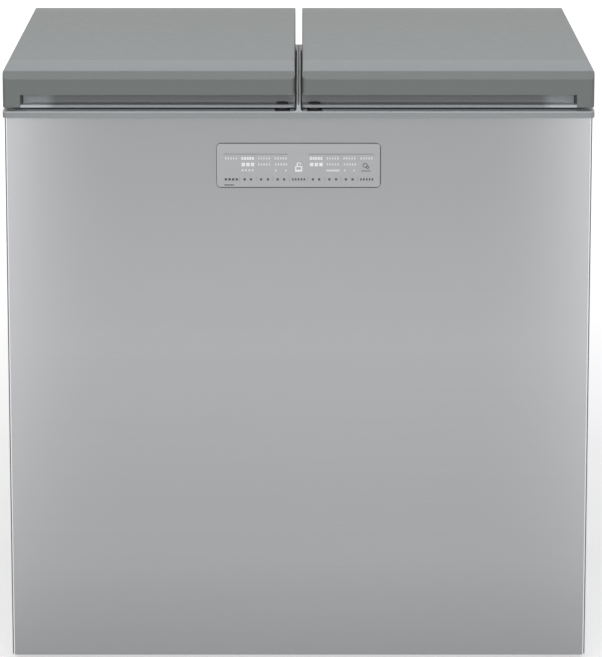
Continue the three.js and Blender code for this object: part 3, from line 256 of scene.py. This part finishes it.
def brushed_front():
    """Steel sheet with fine level hairlines, a painted reflection paler towards its upright edges, painted shade at
    its foot and head, and a painted highlight along its folds.
    """
    finish = Finish("brushed_front")
    lines = finish.noise(1.0, detail=3, at=finish.stretched(2.2, 40, 1700))
    long_lines = finish.noise(1.0, detail=2, at=finish.stretched(0.7, 40, 420))
    cloud = finish.noise(2.5, detail=2)
    grain = (lines * 0.55 + long_lines * 0.3 + cloud * 0.15).clamped()
    base = rgb(BRUSHED_FRONT)
    # Painted reflection: paler towards the upright edges
    out = (finish.axis("X").absolute() / PALE_FROM - 1.0).at_least(0)
    edge = out * out * out * (0.03 + finish.axis("Z") * (0.62 - finish.axis("Z") * 0.3))
    # Painted highlight along the line where the sheet folds back
    fold = 1.0 - (finish.axis("X").absolute() - FOLD_LINE).absolute() / FOLD_LINE_HALF
    # Painted shade: darker towards the foot and above mid height
    low = (1.0 - finish.axis("Z") / FOOT_SHADE_TOP).at_least(0)
    high = ((finish.axis("Z") - HEAD_SHADE_START) / HEAD_SHADE_RISE).at_least(0)
    brushed = finish.tint(base, 0.93, 1.05, grain)
    shaded = finish.mix((low * 0.55 + high * 0.85).clamped(), brushed, tuple(c * 0.68 for c in base))
    pale = tuple(min(c * 1.6, 1) for c in base)
    toned = finish.mix((edge / 0.6).clamped(), shaded, pale)
    fold_highlight = tuple(min(c * 2.5, 1) for c in base)
    finish.set(
        Base_Color=finish.mix((fold * 2.0).clamped(), toned, fold_highlight),
        Metallic=0.65,
        Roughness=0.3 + grain * 0.16,
        Normal=finish.bump(lines, 0.05, 0.0002),
    )
    return finish.material


def painted(name, colour, roughness=0.42, peel=0.04):
    """Satin paint with a slight orange peel and the faintest of clouds."""
    finish = Finish(name)
    cloud = finish.noise(3.0, detail=3)
    peel_height = finish.noise(520.0, detail=1)
    dust = finish.noise(60.0, detail=4, roughness=0.7)
    finish.set(
        Base_Color=finish.tint(rgb(colour), 0.965, 1.035, cloud),
        Roughness=roughness - 0.05 + dust * 0.1,
        Normal=finish.bump(peel_height, peel, 0.0002),
    )
    return finish.material


def lid_paint():
    """Satin paint with a painted sheen on the lids' tops that rises towards their front, and a step more on their
    front band.
    """
    finish = Finish("lid_paint")
    cloud = finish.noise(3.0, detail=3)
    streak = finish.noise(1.0, detail=2, at=finish.stretched(1.5, 22, 22))
    peel_height = finish.noise(520.0, detail=1)
    dust = finish.noise(60.0, detail=4, roughness=0.7)
    # Painted sheen on the lids' tops, rising towards the front
    top = finish.axis("Z").above(LID_TOP)
    forward = ((LID_PALE_REAR - finish.axis("Y")) / LID_PALE_RUN).clamped()
    behind = finish.axis("Y").above(LID_BAND)
    sheen_share = top * (0.05 + forward * 0.3 + (1.0 - behind) * 0.35)
    base = rgb(LID_GREY)
    painted_sheen = rgb(LID_SHEEN_GREY)
    plain = finish.tint(base, 0.95, 1.05, (cloud * 0.5 + streak * 0.5).clamped())
    finish.set(
        Base_Color=finish.mix(sheen_share.clamped(), plain, painted_sheen),
        Roughness=0.35 + dust * 0.1,
        Normal=finish.bump(peel_height, 0.03, 0.0002),
    )
    return finish.material


def moulded(name, colour, roughness=0.5, grain=0.12):
    """Moulded plastic with a fine spark-eroded grain."""
    finish = Finish(name)
    fine = finish.noise(SPARK_GRAIN, detail=2)
    wide = finish.noise(6.0, detail=3)
    shade = (fine * 0.5 + wide * 0.5).clamped()
    finish.set(
        Base_Color=finish.tint(rgb(colour), 0.96, 1.04, shade),
        Roughness=roughness - 0.04 + wide * 0.08,
        Normal=finish.bump(fine, grain, 0.0001),
    )
    return finish.material


def handle_plastic():
    """Moulded plastic of the finger recess: painted light on its outer end, a painted shadow line and the lid's colour
    past it.
    """
    finish = Finish("handle_plastic")
    fine = finish.noise(SPARK_GRAIN, detail=2)
    wide = finish.noise(6.0, detail=3)
    across = finish.axis("X").absolute()
    # Painted light on the recess's outer end
    outward = ((across - RECESS_PALE_FROM) / RECESS_PALE_RUN).clamped()
    plain = finish.tint(rgb(HANDLE_GREY), 0.96, 1.04, (fine * 0.5 + wide * 0.5).clamped())
    paler = finish.mix(outward * 0.85, plain, rgb(HANDLE_END_LIT_GREY))
    # Painted shadow line where the recess ends above its ledge
    over_ledge = finish.axis("Z").above(LEDGE_TOP)
    on_line = over_ledge * across.above(RECESS_END - RECESS_LINE)
    shadow_lined = finish.mix(on_line, paler, rgb(RECESS_SHADOW_GREY))
    finish.set(
        Base_Color=finish.mix(over_ledge * across.above(RECESS_END), shadow_lined, rgb(LID_GREY)),
        Roughness=0.46 + wide * 0.08,
        Normal=finish.bump(fine, 0.12, 0.0001),
    )
    return finish.material


def frame_plastic():
    """Grey moulding with a painted highlight on its rounded upper edge and the strip between the lids, and a darker
    land under the lids' edges, partly its own darker plastic and partly painted shade.
    """
    finish = Finish("frame_plastic")
    fine = finish.noise(SPARK_GRAIN, detail=2)
    wide = finish.noise(6.0, detail=3)
    shade = (fine * 0.5 + wide * 0.5).clamped()
    # The land's darker grey is partly its own plastic and partly painted shade under the lids
    on_land = finish.axis("Z").above(LAND_BOTTOM) * finish.axis("X").absolute().above(STRIP_HALF)
    plain = finish.tint(rgb(FRAME_GREY), 0.96, 1.04, shade)
    # Painted highlight on the rounded upper edge and the strip between the lids
    highlighted = finish.mix(finish.axis("Z").above(RIM_EDGE), plain, rgb(FRAME_EDGE_HIGHLIGHT))
    finish.set(
        Base_Color=finish.mix(on_land, highlighted, rgb(LAND_GREY)),
        Roughness=0.26 + wide * 0.08,
        Normal=finish.bump(fine, 0.05, 0.0001),
    )
    return finish.material


def galvanised():
    """Zinc-coated sheet with its spangle of crystals."""
    finish = Finish("zinc_sheet")
    crystals = finish.node("ShaderNodeTexVoronoi", {}, Vector=finish.place, Scale=70.0, output="Color")
    crystal_shade = finish.node("ShaderNodeSeparateColor", {}, crystals, output="Red")
    cloud = finish.noise(9.0, detail=4)
    shade = (crystal_shade * 0.6 + cloud * 0.4).clamped()
    finish.set(
        Base_Color=finish.tint(rgb(ZINC), 0.84, 1.04, shade),
        Metallic=0.75,
        Roughness=0.36 + shade * 0.16,
    )
    return finish.material


def embossed_aluminium():
    """Liner sheet with a stucco emboss."""
    finish = Finish("embossed_aluminium")
    cells = finish.node("ShaderNodeTexVoronoi", {"feature": "SMOOTH_F1"}, Vector=finish.place, Scale=210.0)
    cloud = finish.noise(7.0, detail=3)
    finish.set(
        Base_Color=finish.tint(rgb(LINER_SILVER), 0.92, 1.03, cloud),
        Metallic=0.7,
        Roughness=0.34 + cloud * 0.1,
        Normal=finish.bump(cells, 0.35, 0.0006),
    )
    return finish.material


def rubber(name, colour, roughness=0.72):
    finish = Finish(name)
    bloom = finish.noise(24.0, detail=4)
    fine = finish.noise(900.0, detail=2)
    finish.set(
        Base_Color=finish.tint(rgb(colour), 0.85, 1.25, bloom),
        Roughness=roughness + bloom * 0.12,
        Normal=finish.bump(fine, 0.2, 0.0002),
    )
    return finish.material


def metal(name, colour, roughness, dull):
    """Plated or bare metal with handling marks and duller patches."""
    finish = Finish(name)
    patches = finish.noise(35.0, detail=5, roughness=0.65)
    finish.set(
        Base_Color=finish.tint(rgb(colour), 0.78, 1.05, patches),
        Metallic=1.0,
        Roughness=roughness + patches * dull,
    )
    return finish.material


def foam():
    finish = Finish("insulation_foam")
    pores = finish.node("ShaderNodeTexVoronoi", {}, Vector=finish.place, Scale=420.0)
    cloud = finish.noise(12.0, detail=4)
    finish.set(
        Base_Color=finish.tint(rgb(FOAM_CREAM), 0.86, 1.04, cloud),
        Roughness=0.92,
        Normal=finish.bump(pores, 0.5, 0.001),
    )
    return finish.material


def circuit_board():
    """Green solder mask over copper tracks."""
    finish = Finish("circuit_board")
    tracks = finish.node(
        "ShaderNodeTexBrick", {}, Vector=finish.place, Scale=90.0, Mortar_Size=0.08, output="Fac"
    )
    finish.set(
        Base_Color=finish.mix(tracks, rgb(BOARD_GREEN), tuple(c * 1.5 for c in rgb(BOARD_GREEN))),
        Roughness=0.35,
        Coat_Weight=0.4,
    )
    return finish.material


def fascia_film():
    """Silver-printed film, a little paler towards its left, with painted shade along three edges."""
    finish = Finish("fascia_film")
    fine = finish.noise(1.0, detail=2, at=finish.stretched(1400, 1400, 1400))
    across = (finish.axis("X") / 0.244 + 0.5).clamped()
    sheen = finish.noise(5.0, detail=1)
    shade = (0.45 + fine * 0.12 + sheen * 0.2 - across * 0.15).clamped()
    # Painted shade along the film's top, bottom and right edges
    below = 1.0 - finish.axis("Z").above(FILM_BOTTOM)
    edge_shade = below.at_least(finish.axis("Z").above(FILM_TOP)).at_least(finish.axis("X").above(FILM_RIGHT))
    silver = finish.tint(rgb(FASCIA_SILVER), 0.94, 1.06, shade)
    finish.set(
        Base_Color=finish.mix(edge_shade, silver, rgb(FILM_EDGE_SHADE_GREY)),
        Metallic=0.25,
        Roughness=0.32,
        Coat_Weight=0.25,
        Coat_Roughness=0.15,
    )
    return finish.material


def ink(name, colour):
    """Screen-printed ink, very slightly uneven."""
    finish = Finish(name)
    film = finish.noise(700.0, detail=2)
    finish.set(Base_Color=finish.tint(rgb(colour), 0.95, 1.04, film), Roughness=0.45 + film * 0.1)
    return finish.material


FINISHES = {
    "front": brushed_front(),
    "side": painted("side_paint", SIDE_GREY, 0.45),
    "lid": lid_paint(),
    "handle": handle_plastic(),
    "frame": frame_plastic(),
    "fascia": fascia_film(),
    "zinc": galvanised(),
    "liner": embossed_aluminium(),
    "foam": foam(),
    "rubber": rubber("black_rubber", RUBBER_BLACK),
    "gasket": rubber("gasket_rubber", GASKET_GREY, 0.6),
    "copper": metal("copper_tube", COPPER, 0.25, 0.25),
    "enamel": painted("black_enamel", ENAMEL_BLACK, 0.3, 0.08),
    "black": moulded("black_plastic", PLASTIC_BLACK, 0.5),
    "white": moulded("white_plastic", PLASTIC_WHITE, 0.4, 0.06),
    "board": circuit_board(),
    "nickel": metal("nickel_plate", NICKEL, 0.22, 0.16),
    "mark_white": ink("white_ink", MARK_WHITE),
    "mark_dim": ink("dim_ink", MARK_DIM),
    "mark_grey": ink("grey_ink", MARK_GREY),
    "mark_dark": ink("dark_ink", MARK_DARK),
}

# ---- Pieces ----

WELD = 1e-6
FLAT_DEG = 0.5
BEND_RADIUS = 1.1 * MM
FOLD_MIN_ANGLE = 1.2  # radians


def body_of(node):
    return frame["nodes"][node]["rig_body"]


def finished(name, shape, finish, body, smooth_angle=35):
    """A bmesh as a named object with its finish, riding on a body."""
    mesh = bpy.data.meshes.new(name)
    shape.to_mesh(mesh)
    shape.free()
    piece = bpy.data.objects.new(name, mesh)
    bpy.context.scene.collection.objects.link(piece)
    mesh.materials.append(FINISHES[finish])
    for polygon in mesh.polygons:
        polygon.use_smooth = True
    mesh.set_sharp_from_angle(angle=math.radians(smooth_angle))
    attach(piece, body)
    return piece


def clean_copy(node):
    """A node's mesh, welded, with its flat faces merged."""
    shape = bmesh.new()
    shape.from_mesh(frame["nodes"][node].data)
    bmesh.ops.remove_doubles(shape, verts=shape.verts, dist=WELD)
    bmesh.ops.dissolve_limit(shape, angle_limit=math.radians(FLAT_DEG), verts=shape.verts, edges=shape.edges)
    return shape


def shade_by_faces(piece):
    """Lets a piece's large faces set its shading."""
    normals = piece.modifiers.new("weighted_normals", "WEIGHTED_NORMAL")
    normals.keep_sharp = True


def dressed(node, finish, edge=0.5 * MM, segments=2, crease=32):
    """A node's copy with its hard edges rounded over, in place of the node."""
    shape = clean_copy(node)
    hard = [
        e for e in shape.edges
        if len(e.link_faces) == 2 and e.calc_face_angle(0) > math.radians(crease)
    ]
    bmesh.ops.bevel(
        shape, geom=hard, offset=edge, offset_type="OFFSET", segments=segments, profile=0.5,
        affect="EDGES", material=-1, clamp_overlap=True, harden_normals=False,
    )
    piece = finished(f"{node}_look", shape, finish, body_of(node), smooth_angle=crease + 8)
    shade_by_faces(piece)
    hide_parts(node)


def folded_front():
    """The front panel with its bottom fold rounded to the sheet's bend radius."""
    low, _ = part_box("front_panel")
    shape = clean_copy("front_panel")

    def on_fold(edge):
        """Whether an edge of the sheet's outside runs along the front face's bottom."""
        return all(v.co.z < low.z + 0.1 * MM and v.co.y < low.y + 5 * MM for v in edge.verts)

    folds = [e for e in shape.edges if len(e.link_faces) == 2 and e.calc_face_angle(0) > FOLD_MIN_ANGLE and on_fold(e)]
    bmesh.ops.bevel(
        shape, geom=folds, offset=BEND_RADIUS, offset_type="OFFSET", segments=4, profile=0.5,
        affect="EDGES", material=-1, clamp_overlap=True,
    )
    piece = finished("front_panel_look", shape, "front", body_of("front_panel"), smooth_angle=50)
    shade_by_faces(piece)
    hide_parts("front_panel")


def coated(node, finish):
    """A node that keeps its own mesh and gets a finish."""
    mesh = frame["nodes"][node].data
    mesh.materials.clear()
    mesh.materials.append(FINISHES[finish])


# Nodes with a dressed copy: its finish, and the width of its rounded edges in millimetres
DRESSED = {
    "top_frame": ("frame", 2.2), "control_fascia": ("fascia", 0.4),
    "machine_room_cover": ("zinc", 0.3), "rear_panel": ("zinc", 0.3),
}
# Nodes that keep their own mesh, and their finish
COATED = {
    "base_frame": "zinc", "cabinet_foam": "foam", "floor_plate": "zinc", "control_housing": "black",
    "display_board": "board", "compressor": "enamel", "condenser": "copper", "discharge_pipe": "copper",
    "suction_pipe": "copper", "dryer": "copper", "fan_shroud": "black", "fan_motor": "zinc",
    "condenser_fan": "black", "main_board_box": "white", "main_board": "board", "cord_grommet": "rubber",
}
for side, _ in SIDES:
    DRESSED[f"{side}_lid_cover"] = ("lid", 0.6)
    DRESSED[f"{side}_lid_handle"] = ("handle", 0.5)
    DRESSED[f"{side}_lid_bumper"] = ("rubber", 0.5)
    DRESSED[f"{side}_lid_inner_panel"] = ("white", 1.5)
    DRESSED[f"{side}_lid_gasket"] = ("gasket", 0.6)
    DRESSED[f"{side}_side_panel"] = ("side", 0.4)
    DRESSED[f"{side}_wall_spacer"] = ("black", 0.8)
    DRESSED[f"{side}_front_foot"] = ("rubber", 0.5)
    DRESSED[f"{side}_rear_roller"] = ("white", 0.3)
    COATED[f"{side}_roller_axle"] = "nickel"
    COATED[f"{side}_liner"] = "liner"
    COATED[f"{side}_evaporator"] = "copper"
    COATED[f"{side}_lid_foam"] = "foam"
    for place in ("inner", "outer"):
        DRESSED[f"{side}_{place}_hinge_base"] = ("nickel", 0.4)
        DRESSED[f"{side}_{place}_hinge_arm"] = ("nickel", 0.3)
        DRESSED[f"{side}_{place}_hinge_pin"] = ("nickel", 0.4)

for node, (finish, edge) in DRESSED.items():
    dressed(node, finish, edge * MM)
folded_front()
for node, finish in COATED.items():
    coated(node, finish)

# ---- Control panel marks: plain bars, dots and symbols where the photograph has print ----

MARK_THICKNESS = 0.06 * MM
fascia_low, fascia_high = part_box("control_fascia")
FASCIA_FACE = fascia_low.y
FASCIA_LEFT_PX, FASCIA_RIGHT_PX = 216.8, 380.2
FASCIA_TOP_PX, FASCIA_BOTTOM_PX = 143.3, 187.0


def on_fascia(column, row):
    """A pixel of the photograph as a place on the fascia."""
    across = (column - FASCIA_LEFT_PX) / (FASCIA_RIGHT_PX - FASCIA_LEFT_PX)
    down = (row - FASCIA_TOP_PX) / (FASCIA_BOTTOM_PX - FASCIA_TOP_PX)
    x = fascia_low.x + across * (fascia_high.x - fascia_low.x)
    z = fascia_high.z + down * (fascia_low.z - fascia_high.z)
    return x, z


def add_bar(shape, left, right, top, bottom):
    """A thin printed bar between two columns and two rows of the photograph."""
    x0, z1 = on_fascia(left, top)
    x1, z0 = on_fascia(right, bottom)
    place = Matrix.Translation(((x0 + x1) / 2, FASCIA_FACE - MARK_THICKNESS / 2, (z0 + z1) / 2))
    size = Matrix.Diagonal((x1 - x0, MARK_THICKNESS, z1 - z0, 1))
    bmesh.ops.create_cube(shape, size=1, matrix=place @ size)


def add_dashes(shape, left, right, top, bottom, count, gap=0.7):
    """A row of short bars, as a word would fill it."""
    width = (right - left - gap * (count - 1)) / count
    for index in range(count):
        start = left + index * (width + gap)
        add_bar(shape, start, start + width, top, bottom)


def add_ring(shape, column, row, outer_px, inner_px, sides=24):
    """A printed circle line."""
    x, z = on_fascia(column, row)
    scale = (fascia_high.x - fascia_low.x) / (FASCIA_RIGHT_PX - FASCIA_LEFT_PX)
    turn = Matrix.Translation((x, FASCIA_FACE, z)) @ Matrix.Rotation(math.pi / 2, 4, "X")
    disc = bmesh.ops.create_circle(shape, cap_ends=True, segments=sides, radius=outer_px * scale, matrix=turn)
    face = disc["verts"][0].link_faces[0]
    bmesh.ops.inset_individual(shape, faces=[face], thickness=(outer_px - inner_px) * scale)
    bmesh.ops.delete(shape, geom=[face], context="FACES_ONLY")
    ring = list({f for v in disc["verts"] for f in v.link_faces})
    raised = bmesh.ops.extrude_face_region(shape, geom=ring)
    lifted = [v for v in raised["geom"] if isinstance(v, bmesh.types.BMVert)]
    bmesh.ops.translate(shape, verts=lifted, vec=(0, -MARK_THICKNESS, 0))
    bmesh.ops.recalc_face_normals(shape, faces=shape.faces)


GROUP_WIDTH = 12.4

white_marks = bmesh.new()
for start in (241.6, 309.8):
    add_dashes(white_marks, start, start + GROUP_WIDTH, 156.9, 159.7, 5)
    add_dashes(white_marks, start, start + 12.8, 162.5, 166.0, 3, gap=1.2)
# Padlock: a body with a slot, and its shackle open to the left
add_bar(white_marks, 295.0, 302.2, 169.4, 171.4)
add_bar(white_marks, 295.0, 302.2, 165.9, 166.9)
add_bar(white_marks, 295.0, 296.2, 166.9, 169.4)
add_bar(white_marks, 301.0, 302.2, 166.9, 169.4)
add_bar(white_marks, 296.6, 297.7, 162.9, 165.9)
add_bar(white_marks, 299.8, 300.8, 162.9, 164.6)
add_bar(white_marks, 297.7, 299.8, 162.2, 163.1)
finished("white_print", white_marks, "mark_white", "cabinet")

dim_marks = bmesh.new()
for start in (225.2, 258.0, 274.6, 326.5, 343.2, 360.2):
    add_dashes(dim_marks, start, start + 12, 157.1, 159.4, 5, gap=1.1)
for start in (258.0, 275.0, 326.5, 343.5):
    add_dashes(dim_marks, start, start + 12.2, 163.0, 165.3, 5, gap=1.1)
add_dashes(dim_marks, 241.6, 253.8, 169.0, 171.0, 4, gap=1.4)
add_bar(dim_marks, 326.3, 339.4, 169.3, 171.2)
for column in (275.7, 285.7, 344.4, 354.0):
    add_bar(dim_marks, column - 0.7, column + 0.7, 169.2, 171.2)
finished("dim_print", dim_marks, "mark_dim", "cabinet")

grey_marks = bmesh.new()
add_bar(grey_marks, 223.7, 288.2, 153.7, 154.4)
add_bar(grey_marks, 308.4, 373.2, 153.7, 154.4)
for column in (239.7, 256.2, 272.5, 289.3, 307.6, 324.3, 340.8, 357.2):
    add_bar(grey_marks, column - 0.18, column + 0.18, 176.2, 181.2)
finished("grey_print", grey_marks, "mark_grey", "cabinet")

dark_marks = bmesh.new()
add_ring(dark_marks, 364.9, 165.0, 2.4, 1.7)
add_ring(dark_marks, 367.2, 167.0, 1.6, 0.9)
add_dashes(dark_marks, 361.2, 370.2, 170.2, 171.2, 6, gap=0.5)
for left, right, count in (
    (224.8, 238.0, 4), (292.0, 305.0, 5), (360.0, 373.0, 5),
    (243.6, 245.8, 1), (249.9, 252.1, 1), (260.0, 262.2, 1), (266.8, 269.0, 1),
    (276.5, 278.7, 1), (283.0, 285.2, 1), (311.7, 313.9, 1), (318.0, 320.2, 1),
    (328.2, 330.4, 1), (334.8, 337.0, 1), (344.6, 346.8, 1), (351.2, 353.4, 1),
):
    add_dashes(dark_marks, left, right, 177.9, 180.1, count, gap=1.3)
add_dashes(dark_marks, 224.6, 233.9, 183.9, 185.2, 6, gap=0.4)
finished("dark_print", dark_marks, "mark_dark", "cabinet")

# ---- Room: floor, light and camera ----


# The floor glows for the camera only: little near the object, where its shadow lies, and white far off
NEAR_GLOW = 0.5
FAR_GLOW = 0.5


def pale_floor():
    finish = Finish("pale_floor")
    rays = finish.tree.nodes.new("ShaderNodeLightPath")
    seen = Value(finish, rays.outputs["Is Camera Ray"]) + Value(finish, rays.outputs["Is Glossy Ray"])
    finish.set(Base_Color=(0.8, 0.8, 0.8), Roughness=0.9, Specular_IOR_Level=0.0)
    far = finish.node("ShaderNodeVectorMath", {"operation": "LENGTH"}, finish.place, output="Value")
    strength = NEAR_GLOW + FAR_GLOW * ((far - DIM_REACH) / DIM_FADE).at_least(0).clamped()
    glow = finish.node("ShaderNodeEmission", {}, (1, 1, 1, 1), seen.clamped() * strength, output="Emission")
    total = finish.node("ShaderNodeAddShader", {}, Value(finish, finish.shader.outputs[0]), glow)
    surface = finish.tree.nodes["Material Output"].inputs["Surface"]
    finish.tree.links.new(total.socket, surface)
    return finish.material


floor_shape = bmesh.new()
bmesh.ops.create_grid(floor_shape, x_segments=1, y_segments=1, size=30)
floor_mesh = bpy.data.meshes.new("studio_floor")
floor_shape.to_mesh(floor_mesh)
floor_shape.free()
floor = bpy.data.objects.new("studio_floor", floor_mesh)
floor_mesh.materials.append(pale_floor())
bpy.context.scene.collection.objects.link(floor)

world = bpy.data.worlds.new("studio")
bpy.context.scene.world = world
world.use_nodes = True
tree = world.node_tree
background = tree.nodes["Background"]
rays = tree.nodes.new("ShaderNodeLightPath")
AMBIENT = 0.24
seen = tree.nodes.new("ShaderNodeMath")
seen.operation = "MAXIMUM"
tree.links.new(rays.outputs["Is Camera Ray"], seen.inputs[0])
tree.links.new(rays.outputs["Is Glossy Ray"], seen.inputs[1])
clear = tree.nodes.new("ShaderNodeMath")
clear.operation = "MAXIMUM"
tree.links.new(seen.outputs[0], clear.inputs[0])
tree.links.new(rays.outputs["Is Transmission Ray"], clear.inputs[1])
level = tree.nodes.new("ShaderNodeMapRange")
level.inputs["To Min"].default_value = AMBIENT
level.inputs["To Max"].default_value = 1.0
tree.links.new(clear.outputs[0], level.inputs["Value"])
background.inputs["Color"].default_value = (1, 1, 1, 1)
tree.links.new(level.outputs["Result"], background.inputs["Strength"])


def softbox(name, place, target, width, height, watts):
    """An area light that faces a point."""
    light = bpy.data.lights.new(name, "AREA")
    light.shape = "RECTANGLE"
    light.size = width
    light.size_y = height
    light.energy = watts
    lamp = bpy.data.objects.new(name, light)
    lamp.location = place
    aim = Vector(target) - Vector(place)
    lamp.rotation_euler = aim.to_track_quat("-Z", "Y").to_euler()
    bpy.context.scene.collection.objects.link(lamp)


softbox("top_light", (0, -1.2, 3.6), (0, 0, 0.6), 3.6, 2.0, 46)
softbox("front_light", (0, -5.3, 2.1), (0, 0, 0.55), 6.4, 3.2, 104)
softbox("left_light", (-4.2, -3.0, 1.8), (0, 0, 0.5), 1.4, 2.2, 11)
softbox("right_light", (4.2, -3.0, 1.8), (0, 0, 0.5), 1.4, 2.2, 11)

camera_data = bpy.data.cameras.new("camera")
camera_data.sensor_width = SENSOR_MM
camera_data.lens = FOCAL_LENGTH_PX * SENSOR_MM / PHOTO_LONG_SIDE_PX
camera = bpy.data.objects.new("camera", camera_data)
camera.location = CAMERA_PLACE
camera.rotation_euler = (math.pi / 2 - CAMERA_PITCH, 0, 0)
bpy.context.scene.collection.objects.link(camera)
bpy.context.scene.camera = camera
bpy.context.scene.view_settings.view_transform = "Standard"
